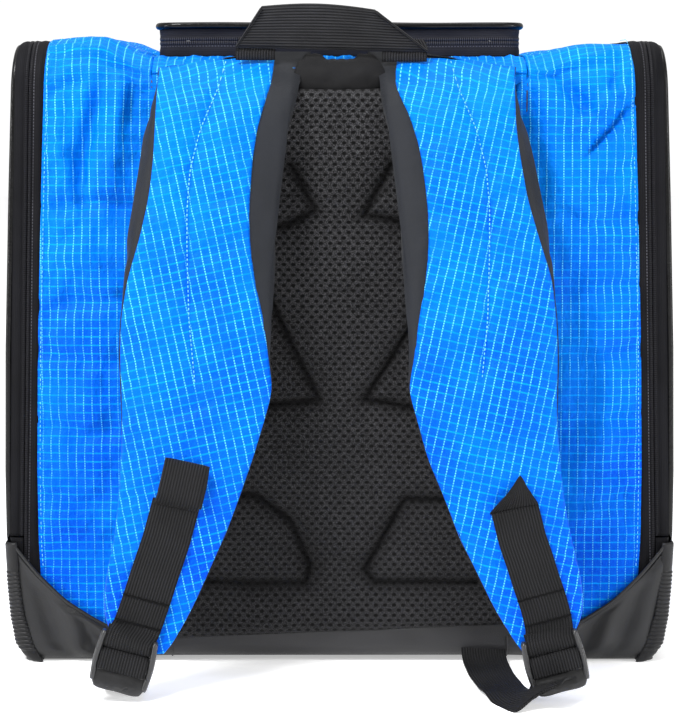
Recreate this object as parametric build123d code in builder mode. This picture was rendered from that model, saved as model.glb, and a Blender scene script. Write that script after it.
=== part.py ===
from build123d import *
import os
from math import cos, hypot, radians, sin

os.makedirs("parts", exist_ok=True)

# Ski boot bag, standing on its base.
# +X across the bag, -Y the wearer's side with the shoulder straps, +Z up.
# The origin is on the floor, at the middle of the bag's footprint.
# "Rear" is the wearer's side (-Y), "front" is +Y, "right" is +X.
# Plane.XZ faces -Y, so Plane.XZ.offset(d) lies at y = -d and extrudes towards -Y.

# ---------------------------------------------------------------- shared dimensions
depth_half = 160.0        # half depth of the body
body_foot_z = 6.0         # lowest edge of the compartments
top_z = 403.0             # top of the two boot compartments
corner_r = 30.0           # rounding of a boot compartment's top edges, side view
wall = 2.5                # padded wall of a boot compartment
gusset_e = 21.0           # width of the black zip gusset, from the outer edge
tape_t = 2.0              # thickness of a zip tape with its coil
slit = 1.2                # gap between the two halves of a zip
web_w = 30.0              # webbing width
web_t = 1.6               # webbing thickness
cut_reach = 200.0         # half length of a trimming prism, beyond the bag in depth

# Half width of the body against height, seen from the back: (z, x).
outer_pts = [
    (3, 205.5), (12, 210.8), (30, 213.9), (50, 215.4), (80, 216.8), (125, 217.0),
    (205, 215.5), (305, 212.0), (390, 208.5), (404, 207.8),
]

# The slit of a side zip is a straight line in back view.
slit_foot_x, slit_foot_z = 205.6, 80.0
slit_top_x, slit_top_z = 197.1, 404.0
zip_lean = (slit_top_x - slit_foot_x) / (slit_top_z - slit_foot_z)


# ---------------------------------------------------------------- outlines
def interp(z, pts):
    """Value at z in a rising (z, value) table, held constant beyond its ends."""
    if z <= pts[0][0]:
        return pts[0][1]
    for (z0, v0), (z1, v1) in zip(pts, pts[1:]):
        if z <= z1:
            return v0 + (v1 - v0) * (z - z0) / (z1 - z0)
    return pts[-1][1]


def x_out(z):
    return interp(z, outer_pts)


def x_slit(z):
    return slit_foot_x + zip_lean * (z - slit_foot_z)


def inset(distance):
    """Width function that lies a distance inside the body's outer edge."""
    return lambda z: x_out(z) - distance


def heights(z0, z1):
    """z0, z1 and every height of the width table between them."""
    return [z0] + [z for z, _ in outer_pts if z0 < z < z1] + [z1]


def between(edge_a, edge_b, stations):
    """Closed outline along edge_a and back along edge_b, given at the same stations."""
    return list(zip(edge_a, stations)) + list(zip(edge_b, stations))[::-1]


def band(inner, outer, z0, z1):
    """Closed outline between two width functions, from z0 to z1."""
    zs = heights(z0, z1)
    return between([inner(z) for z in zs], [outer(z) for z in zs], zs)


def thick_path(pts, thickness):
    """Outline of a thin strip along a centre line of (y, z) points."""
    left, right = [], []
    for i, (y, z) in enumerate(pts):
        before, after = pts[max(i - 1, 0)], pts[min(i + 1, len(pts) - 1)]
        dy, dz = after[0] - before[0], after[1] - before[1]
        scale = thickness / 2 / hypot(dy, dz)
        left.append((y - dz * scale, z + dy * scale))
        right.append((y + dz * scale, z - dy * scale))
    return left + right[::-1]


# ---------------------------------------------------------------- saving
def save(part, name):
    part.label = name
    export_step(part, f"parts/{name}.step")


def save_mirrored(part, name, about):
    with BuildPart() as mirrored:
        mirror(part, about=about)
    save(mirrored.part, name)
    return mirrored.part


def save_pair(right_part, name):
    """Save a right-hand piece and its mirror image on the left."""
    save(right_part, f"right_{name}")
    save_mirrored(right_part, f"left_{name}", Plane.YZ)


# ---------------------------------------------------------------- shared solids
def prism(plane, outline, length):
    with BuildPart() as piece:
        with BuildSketch(plane):
            Polygon(*outline, align=None)
        extrude(amount=length)
    return piece.part


def trimmed_strip(side, x_start, x_length, view_plane, view_outline, view_depth):
    """A side-view (y, z) outline run across the bag, trimmed to an outline in another view."""
    with BuildPart() as strip:
        with BuildSketch(Plane.YZ.offset(x_start)):
            Polygon(*side, align=None)
        extrude(amount=x_length)
        with BuildSketch(view_plane):
            Polygon(*view_outline, align=None)
        extrude(amount=view_depth, mode=Mode.INTERSECT)
    return strip.part


def arch(grow, foot_z, x_start, x_length):
    """The body's side view with its rounded top corners, grown all round, run along x."""
    half, crown_z = depth_half + grow, top_z + grow
    with BuildPart() as block:
        with BuildSketch(Plane.YZ.offset(x_start)) as side_view:
            with Locations((0, (foot_z + crown_z) / 2)):
                Rectangle(2 * half, crown_z - foot_z)
            fillet(side_view.vertices().group_by(Axis.Y)[-1], corner_r + grow)
        extrude(amount=x_length)
    return block.part


def trimmed_arch(grow, foot_z, x_start, x_length, profile):
    """An arch trimmed to an (x, z) profile in back view."""
    with BuildPart() as block:
        add(arch(grow, foot_z, x_start, x_length))
        with BuildSketch(Plane.XZ.offset(-cut_reach)):
            Polygon(*profile, align=None)
        extrude(amount=2 * cut_reach, mode=Mode.INTERSECT)
    return block.part


def u_ring(outer_grow, inner_grow, foot_z, profile):
    """A U-shaped band (back, top, front) trimmed to an (x, z) profile in back view."""
    with BuildPart() as ring:
        add(arch(outer_grow, foot_z, 150, 90))
        add(arch(inner_grow, foot_z - 20, 140, 110), mode=Mode.SUBTRACT)
        with BuildSketch(Plane.XZ.offset(-cut_reach)):
            Polygon(*profile, align=None)
        extrude(amount=2 * cut_reach, mode=Mode.INTERSECT)
    return ring.part


# ---------------------------------------------------------------- boot compartments
# Each compartment is a U of padded fabric (back, top, front), open inwards to the
# divider and outwards to the side door. Its top dips towards the lid.
boot_outer = [(120.0, body_foot_z)]
boot_outer += [(x_out(z) - gusset_e, z) for z in heights(body_foot_z, top_z)]
boot_outer += [(155.0, top_z), (137.0, 398.5), (120.0, 392.5)]
boot_inner = [
    (100.0, 0.0), (240.0, 0.0), (240.0, top_z - wall), (155.5, top_z - wall),
    (137.5, 398.5 - wall), (120.5, 392.5 - wall), (100.0, 383.0),
]

with BuildPart() as boot_shell:
    add(trimmed_arch(0, body_foot_z, 110, 110, boot_outer))
    add(trimmed_arch(-wall, -10.0, 90, 160, boot_inner), mode=Mode.SUBTRACT)
save_pair(boot_shell.part, "boot_shell")

divider_x, divider_t = 118.6, 1.2     # inner face and thickness
divider_depth_half = 155.5
divider_z0, divider_z1 = 8.6, 389.0

with BuildPart() as divider:
    with BuildSketch(Plane.YZ.offset(divider_x)):
        with Locations((0, (divider_z0 + divider_z1) / 2)):
            Rectangle(2 * divider_depth_half, divider_z1 - divider_z0)
    extrude(amount=divider_t)
    fillet(divider.edges().filter_by(Axis.X).group_by(Axis.Z)[-1], 20)
save_pair(divider.part, "divider")

# ---------------------------------------------------------------- middle compartment
panel_t = 2.0             # plain fabric panel
centre_half = 119.5       # half width of the middle compartment
rim_half = 118.4          # half width of the top rims, between the dividers
seam_z = 383.5            # seam across the top of the back panel
front_panel_top_z = 391.8


def centre_panel(plane, panel_top_z):
    with BuildPart() as panel:
        with BuildSketch(plane):
            with Locations((0, (body_foot_z + panel_top_z) / 2)):
                Rectangle(2 * centre_half, panel_top_z - body_foot_z)
        extrude(amount=panel_t)
    return panel.part


save(centre_panel(Plane.XZ.offset(depth_half - panel_t), seam_z - 0.8), "rear_panel")
save(centre_panel(Plane.XZ.offset(-depth_half), front_panel_top_z), "front_panel")

# Section of each top rim: (y, z).
rim_rear_section = [
    (-160.0, seam_z - 0.4), (-159.0, seam_z + 1.2), (-122.4, 392.5), (-122.4, 390.3),
    (-157.6, 381.6), (-157.6, seam_z - 0.6),
]
rim_front_section = [
    (160.0, 392.2), (157.5, 398.0), (151.5, 403.0), (141.5, 406.6), (141.5, 404.6),
    (150.8, 401.3), (155.9, 397.0), (158.0, 392.2),
]
save(prism(Plane.YZ.offset(-rim_half), rim_rear_section, 2 * rim_half), "top_rim_rear")
save(prism(Plane.YZ.offset(-rim_half), rim_front_section, 2 * rim_half), "top_rim_front")


# ---------------------------------------------------------------- stiffeners and back pad
def upright_slab(y_inner, width, height, mid_z, round_r, thickness, edge_r=0.0):
    """Rounded slab from y = -y_inner towards the wearer, its outer edges rounded by edge_r."""
    with BuildPart() as slab:
        with BuildSketch(Plane.XZ.offset(y_inner)) as outline:
            with Locations((0, mid_z)):
                Rectangle(width, height)
            fillet(outline.vertices(), round_r)
        extrude(amount=thickness)
        if edge_r:
            fillet(slab.faces().sort_by(Axis.Y)[0].edges(), edge_r)
    return slab.part


# Stiff sheet in a sleeve behind the back panel.
save(upright_slab(y_inner=156.0, width=216.0, height=356.0, mid_z=197.0, round_r=18,
                  thickness=1.5), "back_frame_sheet")
save(upright_slab(y_inner=162.7, width=218.0, height=350.0, mid_z=195.0, round_r=14,
                  thickness=7.0, edge_r=2.0), "back_pad_foam")
save(upright_slab(y_inner=170.0, width=222.0, height=354.0, mid_z=195.0, round_r=16,
                  thickness=2.0, edge_r=1.2), "back_pad_mesh")

yoke_outline = [(-23.0, 373.0), (23.0, 373.0), (15.4, 383.2), (-15.4, 383.2)]
save(prism(Plane.XZ.offset(160.4), yoke_outline, 3.4), "strap_yoke")

# Stiff floor board, just above the base floor.
with BuildPart() as base_board:
    with BuildSketch(Plane.XY.offset(5.3)) as board_outline:
        Rectangle(404.0, 312.0)
        fillet(board_outline.vertices(), 10)
    extrude(amount=2.8)
save(base_board.part, "base_board")

# ---------------------------------------------------------------- base
# Coated-fabric base: floor, side walls, and back and front walls whose top edge
# climbs from the middle to the corners.
tub_t = 2.0               # fabric of the floor, back and front
side_t = 2.2              # fabric of the side walls
tub_y = 162.3             # outside of the base in depth
tub_foot_z, tub_top_z = 3.0, 78.0
joint_gap = 0.1           # clearance between the base's panels

# Edge of the back and front walls, just inside the side walls.
x_wall = inset(side_t + joint_gap)

# Top edge of the back and front walls, from the middle to the right corner: (x, z).
tub_edge = [
    (0.0, 21.5), (50.0, 18.5), (101.0, 14.5), (140.0, 17.5), (159.0, 27.5),
    (179.0, 40.5), (197.0, 58.0), (x_wall(tub_top_z), tub_top_z),
]
tub_wall = [(-x, z) for x, z in reversed(tub_edge)] + tub_edge[1:]
tub_wall += [(x_wall(z), z) for z in (50, 30, 12, 3)]
tub_wall += [(-x_wall(z), z) for z in (3, 12, 30, 50)]

with BuildPart() as base_floor:
    with BuildSketch(Plane.XY.offset(tub_foot_z)):
        Rectangle(2 * x_wall(tub_foot_z), 2 * (tub_y - tub_t - joint_gap))
    extrude(amount=tub_t)
save(base_floor.part, "base_floor")

base_rear_wall = prism(Plane.XZ.offset(tub_y - tub_t), tub_wall, tub_t)
save(base_rear_wall, "base_rear_wall")
save_mirrored(base_rear_wall, "base_front_wall", Plane.XZ)

base_side_wall = prism(Plane.XZ.offset(-tub_y),
                       band(inset(side_t), x_out, tub_foot_z, tub_top_z), 2 * tub_y)
save(base_side_wall, "base_right_wall")
save_mirrored(base_side_wall, "base_left_wall", Plane.YZ)

# ---------------------------------------------------------------- corner guards
# Moulded corner guards: an L round each bottom corner with a foot under the base
# and horizontal ribs. The four feet carry the bag.
guard_back_y, guard_leg_y = 165.0, 131.0     # distances from the bag's middle in depth
guard_depth = guard_back_y - guard_leg_y
guard_top_z = 79.0
guard_clearance = 0.2                        # between the guard and the base
groove_z0, groove_pitch, groove_count, groove_h = 8.0, 2.6, 20, 1.1
cavity_start_y = 120


def guard_outline(grow):
    """Back-view (x, z) outline; grow is how far it stands out from the body."""
    pts = [(192.0, 0.0), (204.8, 0.0)]
    pts += [(x_out(z) + grow, z) for z in (5, 12, 30, 50, guard_top_z)]
    pts += [(210.0, guard_top_z), (209.0, 45.0), (205.5, 30.0), (199.5, 12.0)]
    return pts


base_cavity = [(150, 2.8)]
base_cavity += [(x_out(z) + guard_clearance, z) for z in (2.8, 12, 30, 50, 80, 90)]
base_cavity += [(150, 90)]

with BuildPart() as guard:
    with BuildSketch(Plane.XZ.offset(guard_leg_y)):
        Polygon(*guard_outline(1.3), align=None)
    extrude(amount=guard_depth)
    # Grooves cut right through leave the ribs.
    with BuildSketch(Plane.XZ.offset(120)):
        for i in range(groove_count):
            with Locations((205, groove_z0 + i * groove_pitch)):
                Rectangle(60, groove_h)
    extrude(amount=60, mode=Mode.SUBTRACT)
    # A thinner core joins the ribs again.
    with BuildSketch(Plane.XZ.offset(guard_leg_y)):
        Polygon(*guard_outline(0.6), align=None)
    extrude(amount=guard_depth - 0.8)
    # Room for the base.
    with BuildSketch(Plane.XZ.offset(cavity_start_y)):
        Polygon(*base_cavity, align=None)
    extrude(amount=tub_y + guard_clearance - cavity_start_y, mode=Mode.SUBTRACT)

save(guard.part, "rear_right_guard")
rear_left_guard = save_mirrored(guard.part, "rear_left_guard", Plane.YZ)
save_mirrored(guard.part, "front_right_guard", Plane.XZ)
save_mirrored(rear_left_guard, "front_left_guard", Plane.XZ)

# ---------------------------------------------------------------- side zips and doors
# The zip runs in a U (back, top, front) on the gusset. Its body half stays on the
# bag; its door half, the piping and the side panel fold down on the foot line.
hinge_z = 80.5            # fold line at the foot of each side door
door_foot_z = 82.5        # lowest edge of a side door
piping_e = 3.5            # width of the piping, from the outer edge
piping_grow = 1.5         # how far the piping stands out of and into the body
door_inset = 1.9          # door panel inside the body's side view
band_z0, band_z1 = 60, 420   # trimming profiles run past the door at both ends

# Below the doors the whole gusset is fixed and runs down behind the base.
split_z = hinge_z - 1
body_tape_profile = [(x_out(z) - gusset_e + 0.2, z) for z in heights(10, band_z1)]
body_tape_profile += [(x_slit(z) - slit / 2, z) for z in (band_z1, split_z)]
body_tape_profile += [(x_out(z) - 2.5, z) for z in (split_z, 50, 30, 12, 10)]
save_pair(u_ring(0, -tape_t, 20.0, body_tape_profile), "zip_body_tape")

door_tape_profile = band(lambda z: x_slit(z) + slit / 2, inset(piping_e + 0.1), band_z0, band_z1)
save_pair(u_ring(0, -tape_t, door_foot_z, door_tape_profile), "zip_door_tape")

piping_profile = band(inset(piping_e), x_out, band_z0, band_z1)
save_pair(u_ring(piping_grow, -piping_grow, door_foot_z, piping_profile), "door_piping")

door_profile = band(inset(3.3), inset(0.8), band_z0, band_z1)
save_pair(trimmed_arch(-door_inset, door_foot_z, 150, 90, door_profile), "door_panel")

# ---------------------------------------------------------------- lid
lid_half = 118.0          # half width of the lid band
lid_rear_y = -122.0
lid_corner_r = 14.0       # rounding of the two rear corners, in plan
lid_body_front_y = 139.0  # front end of the zip half on the body
lid_front_y = 138.6       # front end of the zip half and piping on the lid
lid_band_z0 = 392.6
lid_slit_z = 403.2
lid_band_z1 = 411.0


def lid_slab(grow, z0, height, front_y):
    """The lid's plan with rounded rear corners, grown at the back and the sides."""
    rear_y = lid_rear_y - grow
    with BuildPart() as slab:
        with BuildSketch(Plane.XY.offset(z0)) as plan:
            with Locations((0, (rear_y + front_y) / 2)):
                Rectangle(2 * (lid_half + grow), front_y - rear_y)
            fillet(plan.vertices().group_by(Axis.Y)[0], lid_corner_r + grow)
        extrude(amount=height)
    return slab.part


def lid_ring(grow, thickness, z0, z1, front_y):
    """Band round the back and the two sides of the lid, open at the front."""
    with BuildPart() as ring:
        add(lid_slab(grow, z0, z1 - z0, front_y))
        add(lid_slab(grow - thickness, z0, z1 - z0, front_y + 20), mode=Mode.SUBTRACT)
    return ring.part


save(lid_ring(0, tape_t, lid_band_z0, lid_slit_z - slit / 2, lid_body_front_y),
     "lid_zip_body_tape")
save(lid_ring(0, tape_t, lid_slit_z + slit / 2, lid_band_z1, lid_front_y), "lid_zip_lid_tape")
save(lid_ring(1.2, 4.0, lid_band_z1 + 0.1, lid_band_z1 + 4.0, lid_front_y), "lid_piping")
save(lid_slab(-3.0, lid_band_z1 + 0.4, 2.6, 138.4), "lid_panel")

# ---------------------------------------------------------------- front pocket
pocket_back_y = 160.4
pocket_w, pocket_h, pocket_depth = 190.0, 244.0, 12.0
pocket_mid_z = 216.0
pocket_r = 14.0
pocket_t = 1.5            # fabric of the pocket and thickness of its zip tape
pocket_front_y = pocket_back_y + pocket_depth
pocket_zip_z = 322.0
pocket_tape_w = 5.7       # width of one tape half
pocket_tape_dz = (pocket_tape_w + slit) / 2

with BuildPart() as pocket_shell:
    with BuildSketch(Plane.XZ.offset(-pocket_back_y)) as pocket_outside:
        with Locations((0, pocket_mid_z)):
            Rectangle(pocket_w, pocket_h)
        fillet(pocket_outside.vertices(), pocket_r)
    extrude(amount=-pocket_depth)
    with BuildSketch(Plane.XZ.offset(-pocket_back_y)) as pocket_inside:
        with Locations((0, pocket_mid_z)):
            Rectangle(pocket_w - 2 * pocket_t, pocket_h - 2 * pocket_t)
        fillet(pocket_inside.vertices(), pocket_r - pocket_t)
    extrude(amount=-(pocket_depth - pocket_t), mode=Mode.SUBTRACT)
    # Opening for the zip.
    with BuildSketch(Plane.XZ.offset(-pocket_back_y)):
        with Locations((0, pocket_zip_z)):
            Rectangle(164.0, 13.4)
    extrude(amount=-20, mode=Mode.SUBTRACT)
save(pocket_shell.part, "front_pocket_shell")

with BuildPart() as pocket_tape:
    with BuildSketch(Plane.XZ.offset(-pocket_front_y)):
        with Locations((0, pocket_zip_z - pocket_tape_dz), (0, pocket_zip_z + pocket_tape_dz)):
            Rectangle(163.4, pocket_tape_w)
    extrude(amount=pocket_t)
save(pocket_tape.part, "pocket_zip_tape")

# ---------------------------------------------------------------- zip sliders and pulls
# Local frame of a slider: x along the zip, y across it, z away from the bag, with
# the origin on the zip's outer face at the slit.
slider_len, slider_w, slider_plate = 10.0, 8.4, 1.8
slider_r = 2.4
plate_gap = 0.3           # between a plate and the tape
bar_r, bar_h, bar_gap = 0.8, 4.3, 0.08    # bar radius, height, clearance in the pull's eye
ear_t = 1.4
pull_len, pull_w, pull_t = 21.0, 6.6, 1.8
pull_tab_start = 6.0      # from the bar to the near end of the flat tab


def section_plane(zip_plane):
    """Plane along the zip and square to its face; its -y points away from the bag."""
    return Plane(origin=zip_plane.origin, x_dir=zip_plane.x_dir, z_dir=zip_plane.y_dir)


def zip_slider(zip_plane, tape):
    section = section_plane(zip_plane)
    with BuildPart() as slider:
        # Outer plate, inner plate and the post between them.
        with BuildSketch(zip_plane.offset(plate_gap)):
            RectangleRounded(slider_len, slider_w, slider_r)
        extrude(amount=slider_plate)
        with BuildSketch(zip_plane.offset(-tape - plate_gap)):
            RectangleRounded(slider_len, slider_w, slider_r)
        extrude(amount=-slider_plate)
        with BuildSketch(zip_plane.offset(0.4)):
            Rectangle(3.0, 0.7)
        extrude(amount=-tape - 0.8)
        # Two ears with the bar between them.
        for ear_start in (2.6, -2.6 - ear_t):
            with BuildSketch(section.offset(ear_start)):
                Polygon((-3.0, -1.5), (3.0, -1.5), (1.5, -bar_h - 1.5), (-1.5, -bar_h - 1.5),
                        align=None)
            extrude(amount=ear_t)
        with BuildSketch(section.offset(-2.7)):
            with Locations((0, -bar_h)):
                Circle(bar_r)
        extrude(amount=5.4)
    return slider.part


def zip_pull(zip_plane):
    """Flat tab with an eye round the slider's bar, trailing along -x."""
    section = section_plane(zip_plane)
    tab_len = pull_len - pull_tab_start
    with BuildPart() as pull:
        # Eye and neck.
        with BuildSketch(section.offset(-2.2)):
            with Locations((0, -bar_h)):
                Circle(1.7)
            with Locations((-4.0, -bar_h)):
                Rectangle(8.0, 1.5)
        extrude(amount=4.4)
        with BuildSketch(zip_plane.offset(bar_h - pull_t / 2)):
            with Locations((-pull_tab_start - tab_len / 2, 0)):
                RectangleRounded(tab_len, pull_w, 2.4)
        extrude(amount=pull_t)
        # Slot near the tab's far end.
        with BuildSketch(zip_plane.offset(bar_h - 2)):
            with Locations((-pull_len + 4.0, 0)):
                SlotOverall(4.6, 2.4, rotation=90)
        extrude(amount=4, mode=Mode.SUBTRACT)
        # Hole for the bar.
        with BuildSketch(section.offset(-4)):
            with Locations((0, -bar_h)):
                Circle(bar_r + bar_gap)
        extrude(amount=8, mode=Mode.SUBTRACT)
    return pull.part


door_slider_z = 112.0


def door_zip_plane(side):
    """Zip frame on the front of a side door; side is 1 for right and -1 for left."""
    return Plane(origin=(side * x_slit(door_slider_z), depth_half, door_slider_z),
                 x_dir=(side * zip_lean, 0, 1), z_dir=(0, 1, 0))


lid_zip_plane = Plane(origin=(lid_half, 118.0, lid_slit_z), x_dir=(0, -1, 0), z_dir=(1, 0, 0))
pocket_zip_plane = Plane(origin=(72.0, pocket_front_y, pocket_zip_z),
                         x_dir=(-1, 0, 0), z_dir=(0, 1, 0))

# Name, frame and tape thickness of each zip.
zips = [
    ("right_door", door_zip_plane(1), tape_t),
    ("left_door", door_zip_plane(-1), tape_t),
    ("lid", lid_zip_plane, tape_t),
    ("pocket", pocket_zip_plane, pocket_t),
]
for zip_name, zip_frame, zip_tape in zips:
    save(zip_slider(zip_frame, zip_tape), f"{zip_name}_slider")
    save(zip_pull(zip_frame), f"{zip_name}_pull")

# ---------------------------------------------------------------- carry handle
# Webbing grip standing on the top seam, its ends folded over at a slant.
with BuildPart() as handle_grip:
    with BuildSketch(Plane.XZ.offset(155.6)):
        Polygon((-65.5, 396.5), (57.0, 396.5), (24.0, 421.5), (-48.5, 421.5), align=None)
    extrude(amount=3.2)
    fillet(handle_grip.edges().filter_by(Axis.Y).group_by(Axis.Z)[-1], 2.5)
save(handle_grip.part, "handle_grip")

with BuildPart() as handle_ends:
    with BuildSketch(Plane.XZ.offset(154.4)):
        with Locations((-54.0, 392.4), (34.0, 392.4)):
            Rectangle(27.0, 7.4)
    extrude(amount=5.2)
save(handle_ends.part, "handle_ends")

# ---------------------------------------------------------------- shoulder straps
# Height, outer face y, edge of the padding (outer), edge of the cover (outer),
# edge of the cover (inner), edge of the padding (inner), thickness.
strap_rows = [
    (387.0, -163.9, 113.0, 113.0, 40.0, 16.6, 2.2),
    (384.2, -165.6, 113.0, 113.0, 39.6, 17.2, 3.0),
    (378.0, -175.8, 112.6, 112.6, 37.4, 23.4, 7.0),
    (372.0, -183.4, 113.4, 112.4, 40.0, 25.0, 9.8),
    (365.5, -189.5, 114.2, 112.3, 42.6, 26.5, 12.0),
    (353.0, -196.2, 117.8, 112.5, 47.0, 29.4, 14.0),
    (341.0, -200.8, 121.0, 113.2, 50.0, 31.6, 15.0),
    (329.0, -204.6, 123.4, 114.2, 52.5, 33.2, 15.0),
    (304.0, -211.0, 127.8, 117.7, 54.9, 36.2, 15.0),
    (280.0, -216.2, 131.5, 124.0, 55.4, 38.5, 15.0),
    (256.0, -221.4, 133.4, 131.3, 52.9, 39.7, 14.5),
    (231.0, -226.2, 134.7, 134.6, 47.9, 41.0, 14.0),
    (207.0, -230.6, 135.2, 135.2, 44.7, 42.8, 13.0),
    (189.0, -233.9, 134.2, 134.2, 41.8, 41.5, 12.0),
    (171.0, -236.8, 134.0, 134.0, 46.8, 46.5, 12.0),
    (146.5, -240.4, 134.8, 134.8, 53.9, 53.6, 12.0),
    (122.0, -244.0, 136.9, 136.9, 63.3, 63.0, 12.0),
    (98.0, -247.2, 140.5, 140.5, 72.5, 72.2, 11.5),
    (73.6, -250.4, 146.2, 146.2, 84.1, 83.8, 11.0),
    (55.4, -252.7, 147.4, 147.4, 93.0, 92.7, 10.0),
    (40.0, -254.3, 142.8, 142.8, 102.4, 102.0, 9.0),
    (30.0, -255.4, 129.4, 129.4, 110.3, 110.0, 7.5),
]
strap_z, strap_y, pad_outer, cover_outer, cover_inner, pad_inner, strap_t = zip(*strap_rows)
pad_outline = between(pad_outer, pad_inner, strap_z)
cover_outline = between(cover_outer, cover_inner, strap_z)


def strap_layer(outline, start, end):
    """One layer of the strap, between two shares of the thickness (0 bag side, 1 outside)."""
    faces = [[y + (1 - share) * t for y, t in zip(strap_y, strap_t)] for share in (start, end)]
    side = [(y, z) for y, z in between(*faces, strap_z)]
    return trimmed_strip(side, 5, 160, Plane.XZ.offset(140), outline, 140)


save_pair(strap_layer(pad_outline, 0.0, 0.12), "strap_lining")
save_pair(strap_layer(pad_outline, 0.13, 0.85), "strap_foam")
save_pair(strap_layer(cover_outline, 0.86, 1.0), "strap_cover")

# ---------------------------------------------------------------- ladder buckles
# Buckle frame: x across the tilted buckle, y up along it, z away from the bag.
buckle_tilt = radians(15.0)
buckle_across = (cos(buckle_tilt), 0, sin(buckle_tilt))
buckle_plane = Plane(origin=(132.0, -259.4, 24.5), x_dir=buckle_across, z_dir=(0, -1, 0))
buckle_bar_v = 13.6       # height of the round bar in the buckle frame
buckle_bar_r = 1.9


def buckle_section(u, v):
    """Section plane square to the bars at (u, v): x away from the bag, y down the buckle."""
    return Plane(origin=buckle_plane.from_local_coords((u, v, 0)),
                 x_dir=(0, -1, 0), z_dir=buckle_across)


bar_plane = buckle_section(0, buckle_bar_v)

with BuildPart() as buckle:
    # Two side rails.
    with BuildSketch(buckle_plane.offset(-2.1)) as rails:
        Polygon((-18.2, 15.6), (18.2, 15.6), (17.2, -15.4), (-17.2, -15.4), align=None)
        fillet(rails.vertices(), 3.0)
        Rectangle(31.2, 60, mode=Mode.SUBTRACT)
    extrude(amount=4.2)
    # Round bar at the top, two flat bars below it.
    with BuildSketch(bar_plane.offset(-16.6)):
        Circle(buckle_bar_r)
    extrude(amount=33.2)
    with BuildSketch(buckle_plane.offset(-1.6)):
        with Locations((0, 3.2)):
            Rectangle(33.0, 4.2)
        with Locations((0, -6.2)):
            Rectangle(33.0, 4.4)
    extrude(amount=3.2)
    # Thumb lip: a plate that leans outwards below the lower bar.
    with BuildSketch(buckle_section(-16.4, 0)):
        Polygon((-1.6, 8.0), (1.6, 8.0), (5.0, 14.8), (2.8, 16.0), (-1.6, 11.0), align=None)
    extrude(amount=32.8)
save_pair(buckle.part, "buckle")

# ---------------------------------------------------------------- strap webbing
# Webbing down the lower part of the strap; its lower end wraps the buckle's round bar.
# Height, inner edge x, outer edge x.
web_rows = [
    (149.0, 82.5, 110.5), (119.0, 88.5, 117.5), (98.0, 94.0, 123.8), (74.0, 102.0, 131.8),
    (62.0, 106.0, 135.8), (47.0, 110.4, 140.2), (39.5, 112.4, 142.4),
]
web_z, web_inner, web_outer = zip(*web_rows)
web_outline = between(web_inner, web_outer, web_z)

strap_face = sorted(zip(strap_z, strap_y))
web_side_z = [150.0, 146.5, 122.0, 98.0, 73.6, 55.4, 43.0, 39.0]
web_face = [interp(z, strap_face) - 0.3 for z in web_side_z]
web_side = between(web_face, [y - web_t for y in web_face], web_side_z)

with BuildPart() as strap_webbing:
    add(trimmed_strip(web_side, 60, 100, Plane.XZ.offset(200), web_outline, 100))
    # Wrap round the bar, and the short run up from it on the bag's side.
    with BuildSketch(bar_plane.offset(-14.8)):
        Circle(3.6)
        with Locations((-2.8, -2.6)):
            Rectangle(1.6, 5.2)
    extrude(amount=29.6)
    with BuildSketch(bar_plane.offset(-16)):
        Circle(buckle_bar_r + 0.1)
    extrude(amount=32, mode=Mode.SUBTRACT)
save_pair(strap_webbing.part, "strap_webbing")

# ---------------------------------------------------------------- adjusters
# Webbing from the base seam out along the floor to its turn, and the tail that
# carries on from there up towards the buckle. Centre lines in side view: (y, z).
adjuster_path = [
    (-163.4, 9.0), (-168.0, 6.0), (-176.0, 4.0), (-200.0, 3.2), (-236.0, 3.0), (-266.0, 3.0),
    (-280.0, 3.6), (-286.5, 6.0), (-288.2, 9.4),
]
tail_path = [(-286.4, 12.6), (-284.4, 13.7), (-278.0, 14.6), (-268.2, 15.2)]
# Middle of the run in plan: (y, x).
adjuster_plan = [
    (-290.0, 128.5), (-280.0, 124.0), (-266.0, 119.0), (-236.0, 110.0), (-200.0, 101.0),
    (-176.0, 96.0), (-160.0, 94.0),
]
adjuster_half = web_w / 2 - 0.2
tail_x = 130.5            # middle of the tail

plan_y, plan_x = zip(*adjuster_plan)
plan_outline = between([x - adjuster_half for x in plan_x],
                       [x + adjuster_half for x in plan_x], plan_y)
save_pair(trimmed_strip(thick_path(adjuster_path, web_t), 60, 110,
                        Plane.XY.offset(-5), plan_outline, 30), "adjuster_webbing")
save_pair(prism(Plane.YZ.offset(tail_x - adjuster_half), thick_path(tail_path, web_t),
                2 * adjuster_half), "adjuster_tail")
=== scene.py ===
# A boot bag worn as a backpack: two tall boot compartments, each with a zipped door, beside
# a middle compartment with a lid, a front pocket, a padded back and two shoulder straps.
# It stands on z = 0. Left is -X and right is +X. The rear, with the back pad and the straps,
# faces -Y and the camera; the front pocket faces +Y. Lengths are in mm unless noted; meshes
# are made in metres.
import math
from collections import namedtuple

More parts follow.
